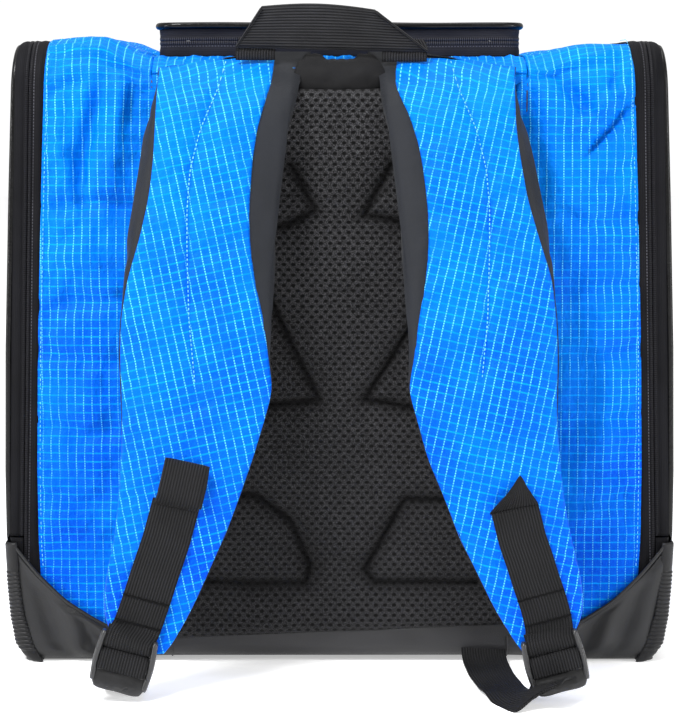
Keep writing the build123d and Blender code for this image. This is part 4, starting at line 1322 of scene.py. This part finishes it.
put(cushion("front_pocket_cloth", rounded_rect(-94.6, 94.6, 94.4, 337.6, (14,) * 4, step=4.5),
            pocket_place, rings_inward(44, 1.8), LINED),
    "bag", "front_pocket_shell", slot="ripstop")
for part, low, high, replaced in (("lower", 314.6, 321.85, ["pocket_zip_tape"]),
                                  ("upper", 322.15, 329.4, [])):
    x, z = grid(np.linspace(-POCKET_ZIP_HALF, POCKET_ZIP_HALF, 110), np.linspace(low, high, 12))
    away = z - POCKET_ZIP_Z
    ends = smooth((POCKET_ZIP_HALF - np.abs(x)) / 2.0)
    points = stack(x, 171.35 + (0.35 + coil(away, 0.6)) * ends, z)
    put(shell(f"pocket_zip_{part}", points, stack(away, x), 0.8, [ZIP], (0, 1, 0)),
        "bag", *replaced, slot="zip_tape")

# ------------------------------------------------------------------ shoulder straps
# height, y of the outer face, then for the left and the right strap the distance from the
# middle of: padding outer edge, cover outer edge, cover inner edge, padding inner edge
STRAP_STATIONS = np.array([
    (384.2, -165.0, 114.3, 114.3, 40.9, 17.4, 111.8, 111.8, 38.3, 16.8),
    (377.9, -175.8, 114.8, 114.8, 41.8, 22.3, 110.4, 110.4, 33.0, 24.2),
    (365.5, -189.5, 116.7, 114.8, 46.2, 27.1, 111.7, 109.8, 39.0, 25.9),
    (353.2, -196.2, 120.6, 115.0, 49.7, 30.2, 115.0, 110.0, 44.5, 28.6),
    (341.0, -200.8, 123.2, 115.4, 52.1, 32.3, 119.1, 111.1, 48.1, 31.0),
    (328.7, -204.6, 124.8, 115.8, 53.9, 33.8, 122.0, 112.7, 51.1, 32.5),
    (304.3, -211.0, 128.8, 118.6, 55.6, 36.8, 126.7, 116.8, 54.1, 35.5),
    (279.9, -216.2, 132.3, 124.0, 55.5, 39.2, 130.8, 124.0, 55.2, 37.9),
    (255.6, -221.4, 133.7, 131.2, 52.4, 40.0, 133.1, 131.5, 53.3, 39.4),
    (231.3, -226.2, 135.3, 135.0, 46.8, 41.2, 134.1, 134.1, 48.9, 40.9),
    (207.1, -230.6, 135.5, 135.5, 43.6, 43.0, 134.9, 134.9, 45.8, 42.7),
    (188.9, -233.9, 134.4, 134.4, 41.1, 40.8, 134.2, 134.2, 42.4, 42.1),
    (170.7, -236.8, 134.0, 134.0, 46.0, 45.7, 134.1, 134.1, 47.6, 47.3),
    (146.5, -240.4, 134.3, 134.3, 53.4, 53.1, 135.3, 135.3, 54.3, 54.0),
    (122.2, -244.0, 135.8, 135.8, 61.9, 61.6, 138.0, 138.0, 64.7, 64.4),
    (97.9, -247.2, 138.5, 138.5, 71.1, 70.8, 142.5, 142.5, 73.9, 73.6),
    (73.6, -250.4, 143.7, 143.7, 82.1, 81.8, 148.6, 148.6, 86.1, 85.8),
    (55.4, -252.7, 144.9, 144.9, 90.7, 90.4, 149.8, 149.8, 95.3, 95.0),
    (40.2, -254.3, 141.2, 141.2, 99.0, 98.7, 145.0, 145.0, 104.5, 104.2),
    (33.0, -255.0, 134.0, 134.0, 103.0, 102.8, 137.5, 137.5, 109.0, 108.8),
    (28.5, -255.4, 126.0, 126.0, 107.5, 107.5, 129.0, 129.0, 113.0, 113.0)])[::-1]
# height, thickness
STRAP_THICKNESS = [(28.5, 5.0), (40, 9.0), (55, 10.0), (98, 11.5), (190, 12.0), (231, 14.0),
                   (280, 15.0), (341, 15.0), (353, 14.0), (365.5, 12.0), (372, 9.8),
                   (378, 7.0), (384.2, 3.0)]
# The stitched seam down the cover, as (x, z)
LEFT_SEAM = [(-68.0, 391), (-70.7, 387.4), (-77.8, 368.6), (-86.6, 347.1), (-92.5, 322.6),
             (-94.2, 298.2), (-94.0, 273.8), (-92.6, 231.3), (-88.7, 191.9)]
SEAM = {-1.0: LEFT_SEAM, 1.0: [(-x - 1.5, z) for x, z in LEFT_SEAM]}
# Creases low on the cover: points (x, z), height, width, taper
STRAP_CREASES = {
    -1.0: [([(-84, 121), (-76, 116), (-70, 112)], -1.6, 3.0, 0.1),
           ([(-114, 120), (-124, 124), (-134, 122)], -1.6, 3.2, 0.1),
           ([(-120, 100), (-132, 80), (-139, 58)], 1.4, 7.0, 0.25)],
    1.0: [([(66, 98), (80, 104), (91, 112)], -1.7, 3.0, 0.1),
          ([(120, 121), (132, 125), (139, 126)], -1.8, 2.6, 0.1),
          ([(120, 100), (132, 86), (140, 60)], 1.6, 7.0, 0.25)]}
STRAP_BEND = ((0, -160, 388), (0, -185, 350))       # where the strap leaves the bag
WEAVE_ANGLE = math.radians(12.5)

Strap = namedtuple("Strap", "z face pad_outer cover_outer cover_inner pad_inner thick along")


def strap_rows(sign):
    stations = STRAP_STATIONS
    z = np.linspace(stations[0, 0], stations[-1, 0], 120)
    first = 2 if sign < 0 else 6
    columns = [1, *range(first, first + 4)]
    rows = np.stack([np.interp(z, stations[:, 0], stations[:, k]) for k in columns], -1)
    for _ in range(5):
        rows[1:-1] = (rows[:-2] + 2 * rows[1:-1] + rows[2:]) / 4
    thick = np.interp(z, *np.array(STRAP_THICKNESS).T)
    return Strap(z, *rows.T, thick, arclen(np.stack([rows[:, 0], z], -1)))


def over_rim(points):
    """Carries the strap's top edge over the rim towards the lid, more at its inner side."""
    x, y, z = points[..., 0], points[..., 1], points[..., 2]
    rise = smooth((z - 372.0) / 12.2) * smooth((118.0 - np.abs(x)) / 52.0)
    inner = smooth((z - 376.0) / 8.2) * smooth((74.0 - np.abs(x)) / 30.0)
    return stack(x, y + 21.0 * rise,
                 z + 7.0 * rise + 1.5 * smooth((z - 372) / 12) + 3.4 * inner)


def strap_cover(side, sign, rows):
    """The blue outer cloth; returns its points."""
    share = np.linspace(0, 1, 64)
    width = (rows.cover_outer - rows.cover_inner)[:, None]
    x = rows.cover_inner[:, None] + width * share[None]
    z = np.broadcast_to(rows.z[:, None], x.shape)
    distance, along = line_distance(x * sign, z, SEAM[sign])
    groove = (-1.9 * np.exp(-(distance / 2.2) ** 2) * smooth((1.02 - along) / 0.06)
              * smooth((z - 188) / 10) * smooth((386 - z) / 12))
    hump = 3.0 * (1 - np.abs(2 * share - 1) ** 3.2)[None] + 0 * x
    hump += 1.3 * np.clip(distance / 22, 0, 1) * smooth((z - 200) / 60)
    wrinkle = 0.55 * wave(121 + int(sign), 44.0)(x, z) + 0.22 * wave(124 + int(sign), 17.0)(x, z)
    gather = (1.3 * np.sin(x * 0.55 + 2.5 * np.sin(x * 0.11))
              * smooth((z - 366) / 14) * smooth((388 - z) / 8))
    wrinkle = wrinkle + gather * 0.35
    wrinkle = wrinkle * (0.35 + 0.65 * smooth((386 - z) / 14))
    for crease in STRAP_CREASES[sign]:
        wrinkle = wrinkle + fold(x * sign, z, *crease)
    free = smooth((z - 30) / 30)
    edge = quarter(1 - np.minimum(share, 1 - share) / 0.055)[None]
    lift = 1.9 + hump * free * 0.62 + groove + wrinkle * free * 0.8
    points = over_rim(stack(sign * x, rows.face[:, None] + 1.9 - lift * edge, z))
    hold = (np.where((share < 0.03) | (share > 0.97), 1.0, 0.0)[None]
            + np.exp(-(distance / 1.6) ** 2) * (z > 192) + (z > 381) + (z < 50))
    points = cloth(points, np.clip(hold, 0, 1), shrink=-0.02, pressure=2.0, cap=2.2,
                   out=(0, -1, 0))
    points[..., 2] = np.minimum(points[..., 2], 391.8)
    cos, sin = math.cos(WEAVE_ANGLE), -math.sin(WEAVE_ANGLE) * sign
    length = rows.along[:, None]
    uv = stack(x * sign * cos + length * sin, -x * sign * sin + length * cos)
    bend(shell(f"{side}_strap_cover_cloth", points, uv, 1.3, [RIPSTOP_STRAP], (0, -1, 0)),
         "bag", f"{side}_strap", *STRAP_BEND, f"{side}_strap_cover", slot="ripstop")
    return points


def pad_section(face, outer, cover_outer, cover_inner, inner, thick):
    """Closed plan section (x, y) of the padding, from the cover's outer edge round the
    wearer's side to its inner edge."""
    gap_out, gap_in = max(cover_outer - outer, outer - cover_outer, 0.0), 0.0
    gap_out = max(outer - cover_outer, 0.0)
    gap_in = max(cover_inner - inner, 0.0)
    round_out, round_in = min(1.0, gap_out / 6.0), min(1.0, gap_in / 6.0)
    full_out, full_in = max(round_out, 0.25), max(round_in, 0.3)
    deep = 1.7 + min(2.2, 0.3 * thick)
    # x, depth behind the outer face
    points = [
        (cover_outer - 6.0, deep), (cover_outer - 2.0, 1.7), (cover_outer + 0.2, 1.2),
        (cover_outer + 0.35 * gap_out + 0.3, 1.4 + 0.30 * thick * round_out),
        (outer - 0.8 * round_out, 1.6 + 0.55 * thick * full_out),
        (outer, 2.4 + 0.62 * thick), (outer - 1.2, 0.93 * thick), (outer - 5.0, thick),
        ((outer + inner) / 2, thick + 0.4),
        (inner + 5.0, thick), (inner + 1.2, 0.95 * thick), (inner, 2.4 + 0.6 * thick),
        (inner + 0.5 * round_in, 1.6 + 0.40 * thick * full_in),
        (inner + 3.2 * round_in, 1.5 + 0.24 * thick * full_in),
        (cover_inner - 0.45 * gap_in - 0.3, 1.35 + 0.16 * thick * round_in),
        (cover_inner - 0.2, 1.2), (cover_inner + 2.0, 1.7), (cover_inner + 6.0, deep)]
    return resample(points + points[:1], 30, endpoint=False) + np.array([0, face])


def strap_padding(side, sign, rows):
    plan = np.stack([pad_section(*row) for row in zip(
        rows.face, rows.pad_outer, rows.cover_outer, rows.cover_inner, rows.pad_inner,
        rows.thick)])
    points = over_rim(stack(sign * plan[..., 0], plan[..., 1], rows.z[:, None]))
    caps = np.stack([points[0].mean(0), points[-1].mean(0)])
    bend(skin(f"{side}_strap_padding", points, caps, stack(points[..., 0], rows.along[:, None]),
              [[0, 0], [0, 0]], [STRAP_EDGE]),
         "bag", f"{side}_strap", *STRAP_BEND, f"{side}_strap_foam", slot="foam")


def strap_lining(side, sign, rows):
    """Mesh on the wearer's side, stopping short of both ends."""
    share = np.linspace(0, 1, 30)
    width = (rows.pad_outer - rows.pad_inner - 8.0)[:, None]
    x = rows.pad_inner[:, None] + 4.0 + width * share[None]
    z = np.broadcast_to(rows.z[:, None], x.shape)
    edge = quarter(1 - np.minimum(share, 1 - share) / 0.06)[None]
    y = (rows.face + rows.thick)[:, None] + 0.2 + 0.7 * edge + 0.2 * wave(131, 30)(x, z)
    kept = slice(4, -3)
    bend(shell(f"{side}_strap_mesh_lining", over_rim(stack(sign * x, y, z))[kept],
               stack(x, z)[kept], 1.0, [MESH], (0, 1, 0)),
         "bag", f"{side}_strap", *STRAP_BEND, f"{side}_strap_lining", slot="spacer_mesh")


def strap_stitches(side, sign, rows):
    seam = dense(SEAM[sign], step=2.7, smoothing=3)
    stitches = []
    for before, (x, z), after in zip(seam, seam[1:], seam[2:]):
        if z > 382:
            continue
        along_x, along_z = unit(after - before)
        middle = np.array([x, np.interp(z, rows.z, rows.face) - 0.75, z])
        half = 0.75 * np.array([along_x, 0, along_z])
        stitches.append(((middle - half, middle + half), np.array([-along_z, 0, along_x]),
                         np.array([0, -1, 0])))
    bend(stitch_row(f"{side}_strap_stitches", stitches, 0.30, carry=over_rim),
         "bag", f"{side}_strap", *STRAP_BEND, slot="ripstop")


cover_points = {}
for side, sign in SIDES:
    rows = strap_rows(sign)
    cover_points[sign] = strap_cover(side, sign, rows)
    strap_padding(side, sign, rows)
    strap_lining(side, sign, rows)
    strap_stitches(side, sign, rows)

# ------------------------------------------------------------------ strap webbing and buckles
# The buckle's own axes, on the right side: across it, up along it, and out to the rear
BUCKLE_TILT = math.radians(15.0)
BUCKLE_ACROSS = np.array([math.cos(BUCKLE_TILT), 0, math.sin(BUCKLE_TILT)])
BUCKLE_UP = np.array([-math.sin(BUCKLE_TILT), 0, math.cos(BUCKLE_TILT)])
BUCKLE_OUT = np.array([0.0, -1.0, 0.0])
BUCKLE_MIDDLE = np.array([132.0, -259.4, 24.5])
TOP_BAR = 13.6
# place up the buckle, radius, place outwards
BUCKLE_BARS = ((TOP_BAR, 1.9, 0.0), (3.2, 1.9, 0.2), (-6.4, 1.8, 0.8))
# The webbing's middle line down the strap: height, x
WEBBING_LINE = {
    -1.0: [(121.0, -99.8), (98.3, -105.9), (74.1, -114.2), (62.0, -118.0), (52.0, -121.5),
           (44.0, -124.4)],
    1.0: [(118.0, 107.0), (98.3, 111.9), (86.2, 116.3), (74.1, 120.0), (62.0, 124.2),
          (52.0, 127.0), (44.0, 128.4)]}
STITCH_BARS = {-1.0: (62.5, 47.5), 1.0: (65.5, 50.0)}       # heights


def buckle_point(across, up, out, sign):
    across, up, out = (np.asarray(part, float)[..., None] for part in (across, up, out))
    point = BUCKLE_MIDDLE + BUCKLE_ACROSS * across + BUCKLE_UP * up + BUCKLE_OUT * out
    return point * (sign, 1, 1)


def cover_y(x, z, sign):
    """The rearmost point of the cover under a 30 mm wide piece of webbing."""
    points = cover_points[sign].reshape(-1, 3)
    near = (np.abs(points[:, 2] - z) < 3.5) & (np.abs(points[:, 0] - x) < 15.5)
    return float(points[near, 1].min())


def webbing_run(side, sign):
    """Down the strap, round the buckle's top bar and back up; returns its path."""
    radius = 3.1
    bar = buckle_point(0, TOP_BAR, 0, sign)
    up = BUCKLE_UP * (sign, 1, 1)
    flat = dense([(x, cover_y(x, z, sign) - 1.0 - 0.8 * smooth((62 - z) / 18), z)
                  for z, x in WEBBING_LINE[sign]], step=2.5, smoothing=2)
    ring = []
    for angle in np.radians(np.linspace(60, -200, 22)):
        sin, cos = math.sin(angle), math.cos(angle)
        drop = 3.4 * smooth((0.35 - sin) / 0.7) * (cos > -0.9)
        ring.append(bar + BUCKLE_OUT * (radius * cos) + up * (radius * sin - drop))
    tail = ring[-1] + up * 6 + np.array([0, -0.4, 0])
    path = dense(np.vstack([flat, ring[1:], [tail]]), step=1.4, smoothing=2)
    along = unit(np.gradient(path, axis=0))
    turned = smooth((62 - path[:, 2:]) / 18)
    across = (BUCKLE_ACROSS * (1, 1, sign) * turned
              + np.array([1.0, 0, 0.25 * sign]) * (1 - turned))
    across = unit(across - along * (across * along).sum(1, keepdims=True))

    def out(points):
        y, z = points[..., 1], points[..., 2]
        on_strap = z > 44
        return stack(0.0, np.where(on_strap, -1.0, y - bar[1]),
                     np.where(on_strap, 0.0, z - bar[2]))
    put(tape(f"{side}_strap_webbing_run", path, across, 29.2, 1.6, [WEBBING], out, columns=15,
             ripple=lambda u, v: 0.15 * np.sin(v * 0.16 + u * 0.05)),
        f"{side}_strap", f"{side}_strap_webbing", slot="webbing")
    return path


# The bar tacks are real thread, darker than the webbing as painted shade of their creases.
def stitch_bars(side, sign, path):
    for height in STITCH_BARS[sign]:
        x, y, _ = path[int(np.argmin(np.abs(path[:60, 2] - height)))]
        across = np.linspace(-14.2, 14.2, 30)
        bar = stack(x + across, y - 1.0,
                    height + 0.27 * sign * across + 0.25 * np.sin(np.linspace(0, 40, 30)))
        put(tube(f"{side}_webbing_stitch_{int(height)}", bar, 0.55, [THREAD_BLACK_CREASE_SHADE],
                 up=(0, 0, 1), sides=8),
            f"{side}_strap", slot="webbing")


def left_loop():
    face = cover_y(-97.0, 124.0, -1.0) + 2.6
    # x, y from the face, z
    loop = [(-99.8, -4.6, 119.0), (-98.2, -8.0, 122.5), (-95.8, -10.5, 132),
            (-93.2, -10.0, 143), (-92.4, -7.5, 147.4), (-92.6, -4.0, 146.0),
            (-94.5, -2.6, 134), (-98.0, -3.0, 120)]
    path = dense(np.array(loop) + (0, face, 0), step=1.5, smoothing=3)
    put(tape("left_webbing_loop", path, unit(np.array([1.0, 0, -0.22])), 27.6, 1.5, [WEBBING],
             lambda points: (points - points.mean((0, 1))) * (0, 1, 1)),
        "left_strap", slot="webbing")


def right_loop():
    """A loop that has turned over: its crest leans and narrows to a point."""
    face = cover_y(107.0, 124.0, 1.0) + 2.4
    rows, columns, crest = 30, 14, 0.55
    length, across = grid(np.linspace(0, 1, rows), np.linspace(0, 1, columns))

    def edge(start, end):
        start, end = (np.array([x, face + y, z]) for x, y, z in (start, end))
        return start + (end - start) * across[..., None]
    front = edge((92.0, -4.0, 114.0), (121.5, -4.2, 120.0))
    back = edge((101.0, -1.6, 118.0), (121.5, -1.8, 121.0))
    top = np.array([110.5, face - 9.0, 140.5]) + stack(
        (across - 0.5) * 7.0, -1.5 * (1 - abs(2 * across - 1)) + 2.0 * across,
        -8.5 * abs(across - 0.42) ** 1.3 * 2)
    rise, fall = length / crest, (length - crest) / (1 - crest)
    share = rise[..., None]
    rising = front * (1 - share) + top * share
    rising[..., 1] -= 5.0 * np.sin(np.pi * rise) * (0.6 + 0.4 * across)
    share = fall[..., None]
    falling = top * (1 - share) + back * share
    falling[..., 1] += 1.2 * np.sin(np.pi * fall)
    points = np.where((length < crest)[..., None], rising, falling)
    for _ in range(2):
        points[1:-1] = (points[:-2] + 2 * points[1:-1] + points[2:]) / 4
    put(shell("right_webbing_loop", points, stack(-14 + 28 * across, 40 * length), 1.3,
              [WEBBING], (points - points.mean((0, 1))) * (0.3, 1, 1)),
        "right_strap", slot="webbing")


def ladder_buckle(side, sign):
    """Two side arms, three bars and a thumb lip, joined into one object."""
    parts = []
    up = np.linspace(17.2, -14.5, 22)
    bow = 0.6 + 2.2 * (up / 17.0) ** 2 * np.where(up < 0, 1, 0.4)
    radius = 2.1 + 0.35 * np.sin(np.linspace(0, np.pi, 22))
    radius[0] *= 0.72
    radius[-1] *= 0.8
    for arm in (-1, 1):
        path = buckle_point(arm * (16.9 - 0.9 * smooth(np.abs(up) / 18)), up, bow, sign)
        parts.append(tube("buckle_part", path, radius, [ACETAL], up=(0, -1, 0), sides=14,
                          squash=(0.86, 1.45)))
    for height, radius, out in BUCKLE_BARS:
        path = buckle_point(np.linspace(-16.4, 16.4, 14), height, out, sign)
        parts.append(tube("buckle_part", path, radius, [ACETAL], up=(0, -1, 0), sides=12))
    across, down = grid(np.linspace(-1, 1, 27), np.linspace(0, 1, 16))
    half = 17.2 - 3.0 * down ** 3
    lip = buckle_point(
        across * half,
        -5.5 - 12.3 * down - 1.6 * across ** 2 * down + 2.0 * across ** 4 * down,
        2.0 + 3.4 * np.sin(down * 1.5) - 1.1 * across ** 4, sign)
    thickness = 2.8 * np.sqrt(1 - 0.75 * np.abs(across) ** 10) * np.sqrt(1 - 0.8 * down ** 10)
    parts.append(shell("buckle_part", lip, stack(across, down), thickness, [ACETAL],
                       (0, -1, 0)))
    bpy.ops.object.select_all(action="DESELECT")
    for part in parts:
        part.select_set(True)
    buckle = parts[0]
    bpy.context.view_layer.objects.active = buckle
    bpy.ops.object.join()
    buckle.name = f"{side}_ladder_buckle"
    buckle.data.name = buckle.name
    put(buckle, f"{side}_buckle_body", f"{side}_buckle", slot="acetal")


def adjuster_turn(side, sign):
    """The adjuster webbing where it turns over the buckle's middle bar."""
    # place up the buckle, place outwards
    turn = [(-4.4, -2.6), (0.0, -2.9), (4.2, -2.8), (6.4, -1.2), (6.7, 1.2), (5.2, 3.1),
            (1.0, 3.7), (-3.4, 3.9), (-6.4, 4.0)]
    path = dense([buckle_point(0, up, out, sign) for up, out in turn], step=1.2, smoothing=2)
    middle = buckle_point(0, 2, 0.5, sign)
    put(tape(f"{side}_adjuster_turn", path, BUCKLE_ACROSS * (1, 1, sign), 29.9, 1.4, [WEBBING],
             lambda points: (points - middle) * (0, 1, 1)),
        f"{side}_buckle_body", slot="webbing")


# Adjusters, from the base seam out over the floor and up into the buckle: x from the
# middle, y, z
ADJUSTER_PATH = {
    -1.0: [(139, -161.5, 9.5), (139, -166, 6.2), (138.5, -178, 3.6), (137, -205, 2.6),
           (135.6, -228, 2.6), (135, -240, 3.2), (134.6, -248, 5.0), (134.4, -252.4, 9.0),
           (134.0, -254.4, 16.0)],
    1.0: [(94, -161.5, 9.5), (94, -166, 6.2), (94.5, -178, 3.6), (96.5, -205, 2.6),
          (101, -238, 2.6), (107, -262, 4.0), (112.5, -275.5, 6.2), (116.2, -281.8, 7.8),
          (119.6, -283.6, 9.6), (122.6, -280.6, 11.2), (125.0, -274.0, 11.8),
          (128, -266, 11.8), (131.5, -258.0, 12.6), (134, -255.2, 14.2), (134, -255.6, 18.0)]}
ADJUSTER_WIDTH = {-1.0: 26.0, 1.0: 29.0}


def adjuster_run(side, sign):
    stations = ADJUSTER_PATH[sign]
    path = dense(np.array(stations) * (sign, 1, 1), step=2.0, smoothing=3)
    along = unit(np.gradient(path, axis=0))
    share = (arclen(path) / arclen(path)[-1])[:, None]
    flat = np.array([1.0, 0.10 * sign, 0])
    at_buckle = BUCKLE_ACROSS * (1, 1, sign)
    if sign > 0:        # the right one tips halfway, then turns to the buckle
        tip, turn = smooth((share - 0.52) / 0.2), smooth((share - 0.82) / 0.16)
        tipped = np.array([0.86, 0.05, 0.50])
        across = (flat * (1 - tip) + tipped * tip) * (1 - turn) + at_buckle * turn
    else:
        turn = smooth((share - 0.5) / 0.5)
        across = flat * (1 - turn) + at_buckle * turn
    across = unit(across - along * (across * along).sum(1, keepdims=True) * 0.6)
    bend(tape(f"{side}_adjuster_run", path, across, ADJUSTER_WIDTH[sign], 1.5, [WEBBING],
              (0, 0.3, -1.0)),
         "bag", f"{side}_strap", (sign * stations[0][0], -172, 6), (sign * 132, -250, 6),
         f"{side}_adjuster_webbing", f"{side}_adjuster_tail", slot="webbing")


for side, sign in SIDES:
    path = webbing_run(side, sign)
    stitch_bars(side, sign, path)
    if sign < 0:
        left_loop()
    else:
        right_loop()
    ladder_buckle(side, sign)
    adjuster_turn(side, sign)
for side, sign in SIDES:
    adjuster_run(side, sign)


# ------------------------------------------------------------------ carry handle
def grip(name, bottom, top, y, arch_height, lean):
    """A layer of webbing with slanted ends; bottom and top are left and right (x, z)."""
    share, up = grid(np.linspace(0, 1, 110), np.linspace(0, 1, 20))
    (x0, z0), (x1, z1) = bottom
    low_x, low_z = x0 + (x1 - x0) * share, z0 + (z1 - z0) * share
    (x0, z0), (x1, z1) = top
    high_x, high_z = x0 + (x1 - x0) * share, z0 + (z1 - z0) * share
    bow = np.sin(np.pi * share)
    high_z = high_z + arch_height * bow
    x = low_x + (high_x - low_x) * up
    z = low_z + (high_z - low_z) * up
    edge = quarter(1 - np.minimum(np.minimum(up, 1 - up) / 0.09,
                                  np.minimum(share, 1 - share) / 0.02))
    y = y - 1.2 * bow + lean * up - 0.35 * wave(141, 24.0)(x, z) - 1.2 * (edge - 1)
    return shell(name, stack(x, y, z), stack((up - 0.5) * 27, x), 1.7 * (0.4 + 0.6 * edge),
                 [WEBBING_HANDLE], (0, -1, 0))


put(grip("handle_webbing_outer", ((-66.0, 398.2), (56.6, 395.6)), ((-49.4, 424.6), (22.5, 422.4)),
         y=-159.6, arch_height=2.6, lean=1.6),
    "handle", "handle_grip", slot="webbing")
put(grip("handle_webbing_inner", ((-52.0, 400.0), (40.0, 398.0)), ((-46.0, 421.4), (18.0, 420.0)),
         y=-156.9, arch_height=1.6, lean=1.2),
    "handle", slot="webbing")

# ends: left x, right x, top, foot, shift of the upper end in x, replaced nodes
HANDLE_ENDS = ((-66.2, -41.0, 402.0, 392.6, 2, ["handle_ends"]),
               (27.0, 55.5, 400.6, 391.6, -2, []))
for number, (left, right, top, foot, shift, replaced) in enumerate(HANDLE_ENDS, 1):
    x = (left + right) / 2
    path = dense([(x + shift, -153.5, top + 3), (x + 1, -154.2, top - 2), (x, -157.6, top - 6.5),
                  (x, -158.4, foot + 1.0), (x, -157.0, foot - 1.8)], step=1.2, smoothing=2)
    put(tape(f"handle_end_{number}", path, (1, 0, 0), right - left, 2.0, [WEBBING_HANDLE],
             (0, -1, 0)),
        "handle", *replaced, slot="webbing")

# folds along the slanted ends: lower and upper (x, z)
HANDLE_FOLDS = (((-66.2, 397.8), (-49.2, 423.6)), ((56.8, 395.2), (22.6, 421.4)))
for number, ((x0, z0), (x1, z1)) in enumerate(HANDLE_FOLDS, 1):
    share = np.linspace(0.02, 0.98, 24)
    path = stack(x0 + (x1 - x0) * share, -158.4, z0 + (z1 - z0) * share)
    put(tube(f"handle_fold_{number}", path, 1.3, [WEBBING_HANDLE], up=(0, -1, 0), sides=10,
             squash=(0.7, 1.5)),
        "handle", slot="webbing")

# ------------------------------------------------------------------ topstitching by the gussets
for side, sign in SIDES:
    y, z, out_y, out_z, _ = arch()
    line = stack(sign * (x_out(z) - 22.9), y + out_y * 0.8, z + out_z * 0.8)
    axis = np.array([1.0, 0, 0])
    stitches = []
    for k in np.where((z > 62) & (y < -100))[0][:-1]:
        along = unit(line[k + 1] - line[k])
        stitches.append(((line[k], line[k] + along * 1.7), axis, np.cross(along, axis)))
    put(stitch_row(f"{side}_gusset_topstitch", stitches, 0.2), "bag", slot="ripstop")

# ------------------------------------------------------------------ camera (metres)
CAMERA_RISE, CAMERA_DISTANCE = math.radians(6.8), 1.5
SENSOR, LENS = 24.0, 78.171429      # mm

scene = bpy.context.scene
scene.view_settings.view_transform = "Standard"


def aim(thing, place, target):
    thing.location = place
    thing.rotation_mode = "QUATERNION"
    thing.rotation_quaternion = (Vector(target) - Vector(place)).to_track_quat("-Z", "Y")


lens = bpy.data.cameras.new("camera")
camera = bpy.data.objects.new("camera", lens)
scene.collection.objects.link(camera)
scene.camera = camera
target = Vector((0, -0.160, 0.2005))
direction = Vector((0, -math.cos(CAMERA_RISE), math.sin(CAMERA_RISE)))
aim(camera, target + direction * CAMERA_DISTANCE, target)
lens.sensor_fit = "VERTICAL"
lens.sensor_height = SENSOR
lens.sensor_width = SENSOR
lens.lens = LENS
lens.clip_start, lens.clip_end = 0.05, 30

# ------------------------------------------------------------------ floor, world, lights (metres)
FLOOR_HALF = 6
mesh = bpy.data.meshes.new("floor")
mesh.from_pydata([(x * FLOOR_HALF, y * FLOOR_HALF, 0)
                  for x, y in ((-1, -1), (1, -1), (1, 1), (-1, 1))], [], [(0, 1, 2, 3)])
ground = bpy.data.objects.new("floor", mesh)
scene.collection.objects.link(ground)
surface = Surface("floor_pale", roughness=0.9, specular=0.1)
surface.set("Emission Color", (1, 1, 1, 1))
surface.set("Emission Strength", 0.40)
pale = surface.mix(surface.noise(scale=3.0), (0.90, 0.90, 0.90), (0.93, 0.93, 0.93))
mesh.materials.append(surface.finish(pale))

# The world is brighter to the camera than it is as a light.
LIGHT_STRENGTH, SEEN_STRENGTH = 0.62, 1.05
world = bpy.data.worlds.new("studio")
world.use_nodes = True
tree = world.node_tree
background = tree.nodes["Background"]
ray = tree.nodes.new("ShaderNodeLightPath")
strength = tree.nodes.new("ShaderNodeMapRange")
tree.links.new(ray.outputs["Is Camera Ray"], strength.inputs[0])
strength.inputs[3].default_value = LIGHT_STRENGTH
strength.inputs[4].default_value = SEEN_STRENGTH
tree.links.new(strength.outputs[0], background.inputs[1])
background.inputs[0].default_value = (1.0, 1.0, 1.0, 1)
scene.world = world

# name, place, size, power (W), target
LIGHTS = (("key", (-0.9, -1.35, 2.0), (0.8, 0.6), 60, (0, -0.1, 0.33)),
          ("strip_left", (-1.7, -0.75, 0.5), (0.12, 1.0), 12, (-0.2, 0, 0.2)),
          ("strip_right", (1.7, -0.75, 0.5), (0.12, 1.0), 12, (0.2, 0, 0.2)),
          ("fill", (1.6, -1.5, 0.9), (1.2, 1.2), 9, (0, 0, 0.2)),
          ("top", (0, 0.1, 2.2), (1.4, 1.2), 22, (0, 0, 0.2)))
for name, place, size, power, target in LIGHTS:
    light = bpy.data.lights.new(name, "AREA")
    light.shape = "RECTANGLE"
    light.size, light.size_y = size
    light.energy = power
    lamp = bpy.data.objects.new(name, light)
    scene.collection.objects.link(lamp)
    aim(lamp, place, target)
